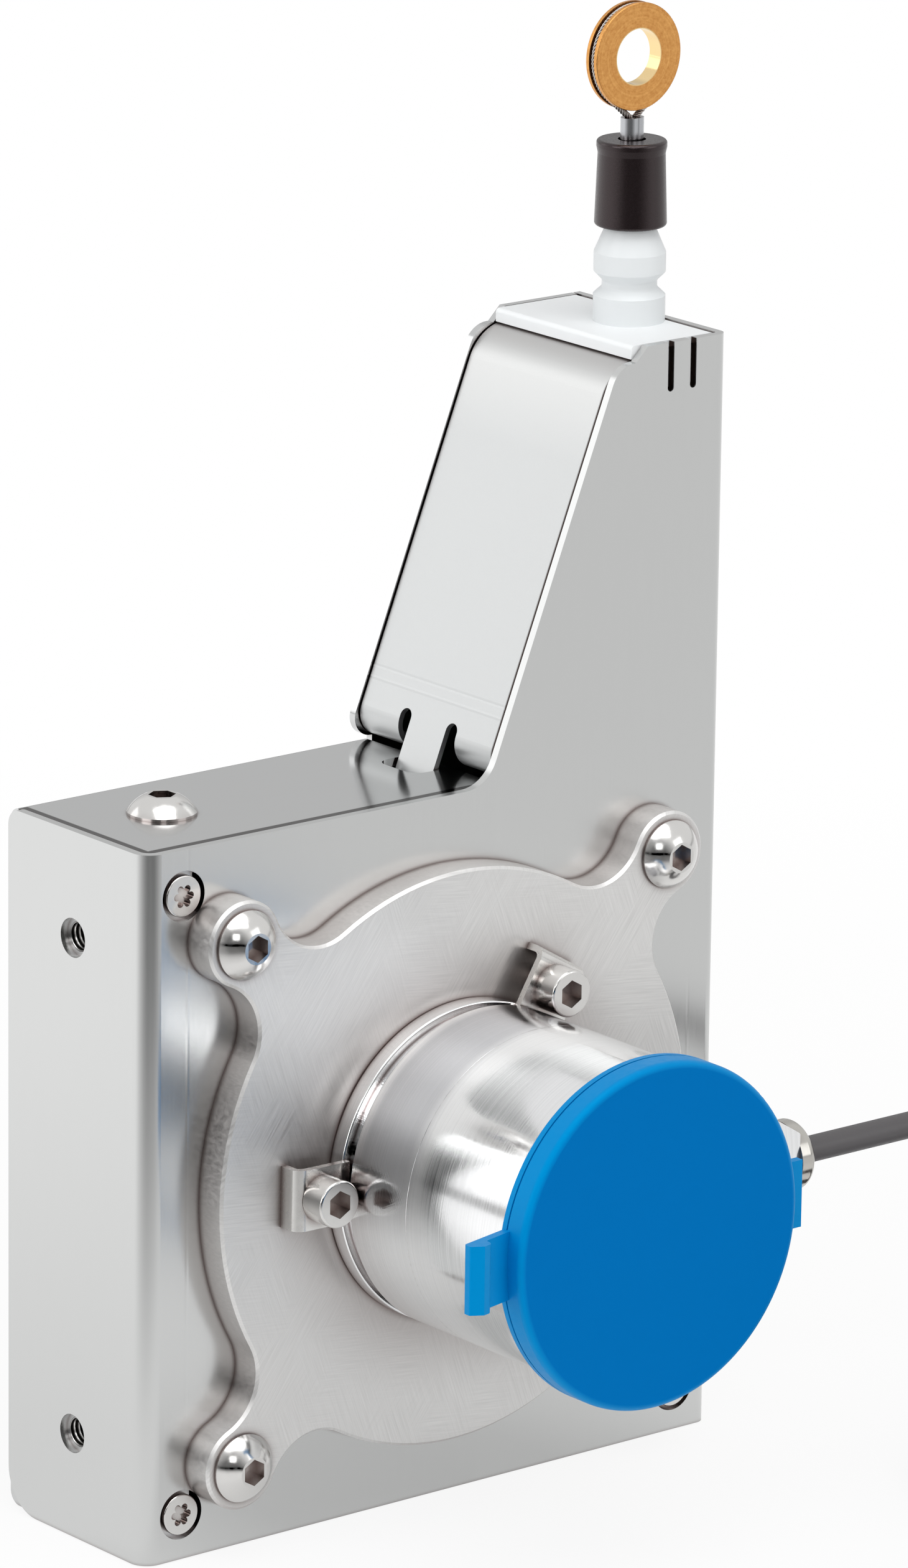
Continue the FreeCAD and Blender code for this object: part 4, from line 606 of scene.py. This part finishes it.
ring_brass, tree, shader = start_finish("ring_brass", (0.68, 0.36, 0.12), 1.0, 0.4)
here = place_of(tree)
distance = vector_maths(tree, "LENGTH", vector_maths(tree, "SUBTRACT", here, RING_CENTRE))
on_face = past(tree, distance, BORE_EDGE)
tarnish = noise(tree, here, 1800.0, 4.0, 0.65)
turned_at = put(tree, "ShaderNodeCombineXYZ", X=distance).outputs[0]
ring_lines = noise(tree, turned_at, 2600.0)
worn = between(tree, on_face, BORE_ROUGHNESS, sway(tree, tarnish, 0.30, 0.44))
mottle = maths(tree, "ADD", product(tree, tarnish, 0.6), product(tree, ring_lines, 0.4))
tone = blended(tree, past(tree, mottle, (0.35, 0.65)), BRASS_DARK, BRASS_LIGHT)
drive(tree, shader, Roughness=worn, Base_Color=blended(tree, on_face, BORE_TONE, tone))
bump(tree, shader, mottle, MOTTLE_DEPTH)
# Painted shade in the corners, in a brass tint.
shade_in_corners(tree, shader, reach=1.2 * MM, tint=BRASS_CORNER_PAINTED_SHADE)
wear(["eye_ring"], ring_brass)

# %% [markdown]
# ## Plastics and rubber
# Moulded plastic has a soft skin, which is a low bump. The cap's face is a
# saturated blue almost without gloss, while its rim catches the light and has
# a painted highlight: colour and gloss change with the distance from the axis.
# The wire guide is white and waxy and lets a little light in. Its turned nozzle
# has a painted shade, a little greyer. The stop is dark rubber with fine specks.

# %% Plastics and rubber
CAP_FACE = (0.0, 0.162, 0.49)
CAP_RIM_PAINTED_HIGHLIGHT = (0.0, 0.235, 0.59)
RIM_START = 29.6 * MM
RIM_COLOUR_END = 30.4 * MM
RIM_GLOSS_END = 30.8 * MM


def moulded(name, colour, low, high, scale, depth):
    """Plastic whose roughness and skin wander a little."""
    material, tree, shader = start_finish(name, colour, 0.0, low)
    skin = noise(tree, place_of(tree), scale, 3.0)
    drive(tree, shader, Roughness=sway(tree, skin, low, high))
    bump(tree, shader, skin, depth)
    return material, tree, shader


cap_blue, tree, shader = moulded("cap_blue", CAP_FACE, 0.42, 0.5, 900.0, 0.0015 * MM)
radius = round_axis(tree, AXIS)[1]
rim = past(tree, radius, (RIM_START, RIM_COLOUR_END))
gloss = spread(tree, radius, RIM_START, RIM_GLOSS_END, 0.03, 0.5)
# The rim's lighter colour is a painted highlight.
drive(tree, shader, Base_Color=blended(tree, rim, CAP_FACE, CAP_RIM_PAINTED_HIGHLIGHT), Specular_IOR_Level=gloss)
shader.inputs["Specular Tint"].default_value = (0.0, 0.8, 1.0, 1.0)
wear(["protective_cap"], cap_blue)

# The nozzle is the guide's plastic, with a painted shade that makes it greyer.
for name, colour, pieces in (
    ("guide_white", (0.88, 0.90, 0.91), ["wire_guide"]),
    ("nozzle_white_painted_shade", (0.76, 0.785, 0.795), ["guide_nozzle", "guide_eyelet"]),
):
    white, tree, shader = moulded(name, colour, 0.32, 0.42, 300.0, 0.002 * MM)
    shader.inputs["Subsurface Weight"].default_value = 0.15
    shader.inputs["Subsurface Radius"].default_value = mm(2.0, 2.0, 2.0)
    wear(pieces, white)

stop_rubber, tree, shader = moulded(
    "stop_rubber", (0.004, 0.0012, 0.0016), 0.23, 0.33, 2600.0, 0.008 * MM,
)
shader.inputs["Specular IOR Level"].default_value = 0.66
shader.inputs["Specular Tint"].default_value = (1.0, 0.84, 0.86, 1.0)
wear(["rope_stop", "gland_seal"], stop_rubber)

# %% [markdown]
# ## Pieces inside and at the cable's end
# These hardly show, but each has a finish of its own, so that the model also
# holds up when a piece is taken out or seen from behind.

# %% Pieces inside and at the cable's end
inner_plastic = moulded("inner_plastic", (0.03, 0.03, 0.033), 0.4, 0.5, 900.0, 0.003 * MM)[0]
wear(["spring_case", "plug_body"], inner_plastic)
board_green = moulded("board_green", (0.02, 0.11, 0.05), 0.3, 0.4, 900.0, 0.002 * MM)[0]
wear(["circuit_board"], board_green)
pin_gold = plain_metal("pin_gold", (0.83, 0.62, 0.30), 0.15, 0.25)
wear(["plug_pins"], pin_gold)
code_glass = moulded("code_glass", (0.75, 0.78, 0.78), 0.1, 0.14, 900.0, 0.001 * MM)[0]
wear(["code_disc"], code_glass)


# %% [markdown]
# ## Route of the cable
# The cable leaves the gland straight to the right, comes down to the floor and
# lies there in a put-away coil with its plug beside it. Its points are the
# route's own, then the coil's turns, then the last ones before the plug. A coil
# is easiest as a formula. The angle falls evenly, and radius and height step
# from one lane to the next in a fifth of a turn. Each lane steps before the
# lane that follows it there, so turns never meet. All places in this cell are
# in millimetres.

# %% Route of the cable
CABLE_RADIUS = 2.4 * MM
ROUTE = np.array([
    (49.7, -29.35, 64.0),
    (70.0, -29.35, 64.0),
    (87.5, -29.35, 64.0),
    (115.0, -31.35, 46.5),
    (123.5, -41.85, 24.0),
    (121.9, -63.35, 12.0),
])
TAIL = np.array([(99.0, -91.85, 2.5), (90.0, -91.65, 3.8), (79.0, -91.65, 4.9)])
COIL_CENTRE = (100.0, -59.85)
LANE_RADIUS = np.array([22.2, 27.0, 31.8, 31.8, 27.0, 22.2, 22.2, 27.0, 31.8, 31.8])
LANE_HEIGHT = np.array([12.0, 12.0, 12.0, 7.2, 7.2, 7.2, 2.4, 2.4, 2.4, 2.4])
STEP_START = np.array([0.8, 0.8, 0.6, 0.4, 0.4, 0.2, 0.0, 0.0, 0.8])
STEP_LENGTH = 0.2
START_ANGLE = -9.1
END_TURNS = 8.0 + 80.9 / 360.0
END_GAP = 0.02
POINTS_PER_TURN = 15


def coil_points():
    """Control points of the coil: the angle falls evenly, with a smooth step between lanes.

    A quadratic spline runs inside its control points by the cosine of half
    their angle, so the radii are divided by that cosine.
    """
    turns = np.arange(1, int(END_TURNS * POINTS_PER_TURN) + 1) / POINTS_PER_TURN
    turns = turns[turns < END_TURNS - END_GAP]
    lane = turns.astype(int)
    share = np.clip((turns - lane - STEP_START[lane]) / STEP_LENGTH, 0.0, 1.0)
    share = share * share * (3.0 - 2.0 * share)
    radius = LANE_RADIUS[lane] * (1.0 - share) + LANE_RADIUS[lane + 1] * share
    height = LANE_HEIGHT[lane] * (1.0 - share) + LANE_HEIGHT[lane + 1] * share
    radius = radius / np.cos(np.pi / POINTS_PER_TURN)
    angle = np.radians(START_ANGLE) - 2.0 * np.pi * turns
    x = COIL_CENTRE[0] + radius * np.cos(angle)
    y = COIL_CENTRE[1] + radius * np.sin(angle)
    return np.column_stack([x, y, height])


cable_points = np.vstack([ROUTE, coil_points(), TAIL])
print("cable with", len(cable_points), "control points")

# %% [markdown]
# ## Cable
# A cable is a round cord, and a curve with a bevel is exactly that. One NURBS
# spline carries the whole length, because it stays smooth where the route's
# points lie far apart.


# %% Cable
def cable_curve(name, points, radius):
    """Round cord on a quadratic NURBS spline through points in millimetres."""
    data = bpy.data.curves.new(name, "CURVE")
    data.dimensions = "3D"
    data.bevel_depth = radius
    data.bevel_resolution = 5
    data.resolution_u = 8
    data.use_fill_caps = True
    spline = data.splines.new("NURBS")
    spline.points.add(len(points) - 1)
    flat = np.ones((len(points), 4))
    flat[:, :3] = points * MM
    spline.points.foreach_set("co", flat.ravel())
    spline.order_u = 3
    spline.use_endpoint_u = True
    made = bpy.data.objects.new(name, data)
    bpy.context.scene.collection.objects.link(made)
    return made


cable = cable_curve("signal_cable", cable_points, CABLE_RADIUS)
cable_jacket = moulded("cable_jacket", (0.085, 0.08, 0.083), 0.36, 0.48, 1600.0, 0.004 * MM)[0]
cable.data.materials.append(cable_jacket)
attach(cable, "housing")
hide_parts("cable", "cable_coil", "cable_tail")
print("cable %.1f mm thick" % (2.0 * CABLE_RADIUS / MM))

# %% [markdown]
# ## Wire rope
# The measuring wire is a stranded steel rope. It leaves the ferrule, runs round
# the ring's groove and comes back. Six strands twist round a seventh. Each
# strand is a tube whose centre goes round the rope's line as a helix: along the
# line by its length, and round it by one turn every few millimetres. The line
# comes first. It lies in the ring's plane, so it is worked out flat, in
# millimetres from the ring's centre.

# %% Line of the wire rope
ROPE_WRAP = 8.85
FOOT = (0.55, -11.1)


def rope_line(count):
    """Points, tangents and arc lengths of leg, arc and leg in the ring's plane.

    The arc's ends are where a line from the ferrule's mouth touches a circle
    of the wrap's radius round the ring's centre.
    """
    reach = np.hypot(*FOOT)
    touch = np.arctan2(FOOT[1], FOOT[0]) + np.arccos(ROPE_WRAP / reach)
    leg = np.sqrt(reach ** 2 - ROPE_WRAP ** 2)
    sweep = np.pi - 2.0 * touch
    total = 2.0 * leg + ROPE_WRAP * sweep
    along = np.linspace(0.0, total, count)
    angle = np.clip(touch + (along - leg) / ROPE_WRAP, touch, touch + sweep)
    on_arc = np.column_stack([np.cos(angle), np.sin(angle)]) * ROPE_WRAP
    tangent = np.column_stack([-np.sin(angle), np.cos(angle)])
    rest = along - leg - np.clip(along - leg, 0.0, ROPE_WRAP * sweep)
    flat = on_arc + tangent * rest[:, None]
    return flat, tangent, along


print("rope line of %.1f mm" % rope_line(2)[2][-1])

# %% [markdown]
# ## Strands of the wire rope
# A mesh made from arrays is the direct way to seven tubes. Every point of the
# line gets two directions across it, one along Y and one outwards in the ring's
# plane. The helix and the circle of each strand are both sums of those two
# directions, weighted by a cosine and a sine.

# %% Wire rope
ROPE_RADIUS = 0.6
STRAND_RADIUS = 0.21
OUTER_STRANDS = 6
LAY_LENGTH = 4.2


def rope_mesh(name, count=260, around=8):
    """Seven strand tubes: centre = line + helix, and a circle round each centre."""
    flat, tangent, along = rope_line(count)
    line = np.column_stack([flat[:, 0], np.zeros(count), flat[:, 1]])
    ahead = np.column_stack([tangent[:, 0], np.zeros(count), tangent[:, 1]])
    side = np.tile([0.0, 1.0, 0.0], (count, 1))
    out = np.cross(ahead, side)
    turn = np.linspace(0.0, 2.0 * np.pi, around, endpoint=False)
    cosine, sine = np.cos(turn)[None, :, None], np.sin(turn)[None, :, None]
    circle = cosine * side[:, None, :] + sine * out[:, None, :]
    row = np.arange(count - 1)[:, None] * around
    column = np.arange(around)[None, :]
    following = (column + 1) % around
    corners = [row + column, row + following, row + around + following, row + around + column]
    quads = np.stack(corners, axis=-1).reshape(-1, 4)
    verts = []
    faces = []
    for strand in range(OUTER_STRANDS + 1):
        phase = 2.0 * np.pi * (strand / OUTER_STRANDS + along / LAY_LENGTH)
        throw = 0.0 if strand == OUTER_STRANDS else ROPE_RADIUS - STRAND_RADIUS
        centre = line + throw * (np.cos(phase)[:, None] * side + np.sin(phase)[:, None] * out)
        verts.append((centre[:, None, :] + STRAND_RADIUS * circle).reshape(-1, 3))
        first = strand * count * around
        faces += (quads + first).tolist()
        faces.append((first + np.arange(around)[::-1]).tolist())
        faces.append((first + (count - 1) * around + np.arange(around)).tolist())
    points = np.vstack(verts) * MM + np.array(RING_CENTRE)
    mesh = bpy.data.meshes.new(name)
    mesh.from_pydata(points.tolist(), [], faces)
    mesh.validate()
    mesh.shade_smooth()
    made = bpy.data.objects.new(name, mesh)
    bpy.context.scene.collection.objects.link(made)
    return made


rope = rope_mesh("rope_strands")
rope_steel = plain_metal("rope_steel", (0.62, 0.60, 0.57), 0.25, 0.4)
rope.data.materials.append(rope_steel)
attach(rope, "wire_end")
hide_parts("rope_loop")
print("rope with", len(rope.data.polygons), "faces")

# %% [markdown]
# ## Floor
# Polished metal shows its surroundings, so the floor is part of the finish. It
# is a large pale plane that catches the object's shadow. The photograph's
# ground is white, so for the camera and in reflections the plane also glows.
# The Light Path node keeps that glow away from diffuse rays, and so it adds no
# light to matte pieces. In reflections the floor isn't even: it is dark at the
# camera's side, a little darker in front on the right, lighter behind on the
# left, and shaded under the object. Each patch is a direction from the object,
# and grows with the cosine between it and the way to the point.

# %% Floor
FLOOR_HALF = 6.0
FLOOR_Z = -0.2 * MM
FLOOR_LEVEL = 0.95
GLOW_SHARE = (0.15, 0.5, 0.88, 1.0)
PATCHES_BEGIN = (0.12, 0.36)
CONTACT_SHADE = (0.03, 0.075, -0.26, 0.0)
WHITE = (1.0, 1.0, 1.0, 1.0)
FLOOR_PATCHES = (
    ((-0.62, 0.78, 0.0), 0.0, 0.9, 0.18),
    ((-0.63, -0.77, 0.0), 0.3, 0.95, -0.75),
    ((0.63, -0.77, 0.0), 0.3, 0.95, -0.15),
)


def patches_on(tree, direction, rows):
    """Sum of soft patches, each with its way, the cosines at its edge and its core, and its change."""
    total = 0.0
    for way, edge, core, change in rows:
        near = vector_maths(tree, "DOT_PRODUCT", direction, way)
        total = maths(tree, "ADD", spread(tree, near, edge, core, 0.0, change), total)
    return total


corners = [
    (x * FLOOR_HALF, y * FLOOR_HALF, FLOOR_Z) for x, y in ((-1, -1), (1, -1), (1, 1), (-1, 1))
]
floor_mesh = bpy.data.meshes.new("floor")
floor_mesh.from_pydata(corners, [], [(0, 1, 2, 3)])
floor = bpy.data.objects.new("floor", floor_mesh)
bpy.context.scene.collection.objects.link(floor)

floor_paint, tree, shader = start_finish("floor_paint", (0.88, 0.88, 0.88), 0.0, 0.8)
path = put(tree, "ShaderNodeLightPath").outputs
seen = maths(tree, "MAXIMUM", path["Is Camera Ray"], path["Is Glossy Ray"])
seen = maths(tree, "MAXIMUM", seen, path["Is Transmission Ray"])
here = place_of(tree)
far = vector_maths(tree, "LENGTH", here)
patches = patches_on(tree, vector_maths(tree, "NORMALIZE", here), FLOOR_PATCHES)
level = maths(tree, "ADD", product(tree, patches, past(tree, far, PATCHES_BEGIN)), FLOOR_LEVEL)
level = maths(tree, "ADD", level, spread(tree, far, *CONTACT_SHADE))
level = between(tree, path["Is Camera Ray"], level, 1.0)
glow = put(tree, "ShaderNodeEmission", Color=WHITE, Strength=level)
share = product(tree, seen, spread(tree, far, *GLOW_SHARE))
both = put(tree, "ShaderNodeMixShader", n_0=share, n_1=shader.outputs[0], n_2=glow.outputs[0])
tree.links.new(both.outputs[0], tree.nodes["Material Output"].inputs["Surface"])
floor_mesh.materials.append(floor_paint)
print("floor with", len(FLOOR_PATCHES), "patches")

# %% [markdown]
# ## World
# The world is white to the camera. In reflections it is nearly white, with a
# darker line at the horizon and two darker patches: a wide one at the camera's
# own side, where the studio is dark, and a small one behind on the right. To
# everything else it is an even grey, which fills the shadows.


# %% World
def unit(vector):
    """The same direction with length one."""
    return np.array(vector, dtype=float) / np.linalg.norm(vector)


SKY_LEVEL = 0.86
SKY_FILL = 0.52
HORIZON_RISE = 0.045
HORIZON_SPAN = (0.025, 0.06, -0.35, 0.0)
SKY_PATCHES = (
    (tuple(unit((-0.62, -0.78, 0.02))), 0.62, 0.92, -0.72),
    (tuple(unit((0.63, 0.73, 0.27))), 0.85, 0.97, -0.22),
)

world = bpy.data.worlds.new("studio")
world.use_nodes = True
bpy.context.scene.world = world
tree = world.node_tree
sky = tree.nodes["Background"]
sky.inputs["Color"].default_value = WHITE
path = put(tree, "ShaderNodeLightPath").outputs
direction = put(tree, "ShaderNodeTexCoord").outputs["Generated"]
aside = maths(tree, "ABSOLUTE", maths(tree, "SUBTRACT", split(tree, direction)["Z"], HORIZON_RISE))
room = maths(tree, "ADD", spread(tree, aside, *HORIZON_SPAN), SKY_LEVEL)
room = maths(tree, "ADD", patches_on(tree, direction, SKY_PATCHES), room)
shown = maths(tree, "MAXIMUM", path["Is Glossy Ray"], path["Is Transmission Ray"])
level = between(tree, path["Is Camera Ray"], between(tree, shown, SKY_FILL, room), 1.0)
tree.links.new(level, sky.inputs["Strength"])
print("world with", len(SKY_PATCHES), "patches")

# %% [markdown]
# ## Lamps
# Five area lamps give soft, bright bands on the turned body and on the curl of
# the cover: one overhead, a bank behind on the left for the slope, a small key
# lamp beside the camera, a bank on the left and one in front on the right. Each
# faces the same point inside the housing, a tenth of a metre above the floor.

# %% Lamps
AIM = (0.0, 0.0, 0.1)
LAMPS = (
    ("overhead", (-0.2, -0.5, 1.5), (1.4, 1.0), 10.5),
    ("back_left_bank", (-0.88, 1.41, 0.67), (0.75, 1.0), 1.85),
    ("key_left", (-0.90, -1.35, 0.87), (0.5, 0.45), 2.4),
    ("left_bank", (-1.7, 0.0, 0.75), (1.0, 1.0), 6.5),
    ("front_bank", (0.9, -1.5, 0.7), (1.0, 1.0), 3.0),
)


def lamp(name, place, size, power):
    """Rectangular area lamp that faces the aim, with its size in metres and its power in watts."""
    data = bpy.data.lights.new(name, "AREA")
    data.shape = "RECTANGLE"
    data.size, data.size_y = size
    data.energy = power
    made = bpy.data.objects.new(name, data)
    bpy.context.scene.collection.objects.link(made)
    back = unit(np.subtract(place, AIM))
    right = unit(np.cross([0.0, 0.0, 1.0], back))
    made.matrix_world = turned_to(right, np.cross(back, right), back, place)


for name, place, size, power in LAMPS:
    lamp(name, place, size, power)
print(len(LAMPS), "lamps")
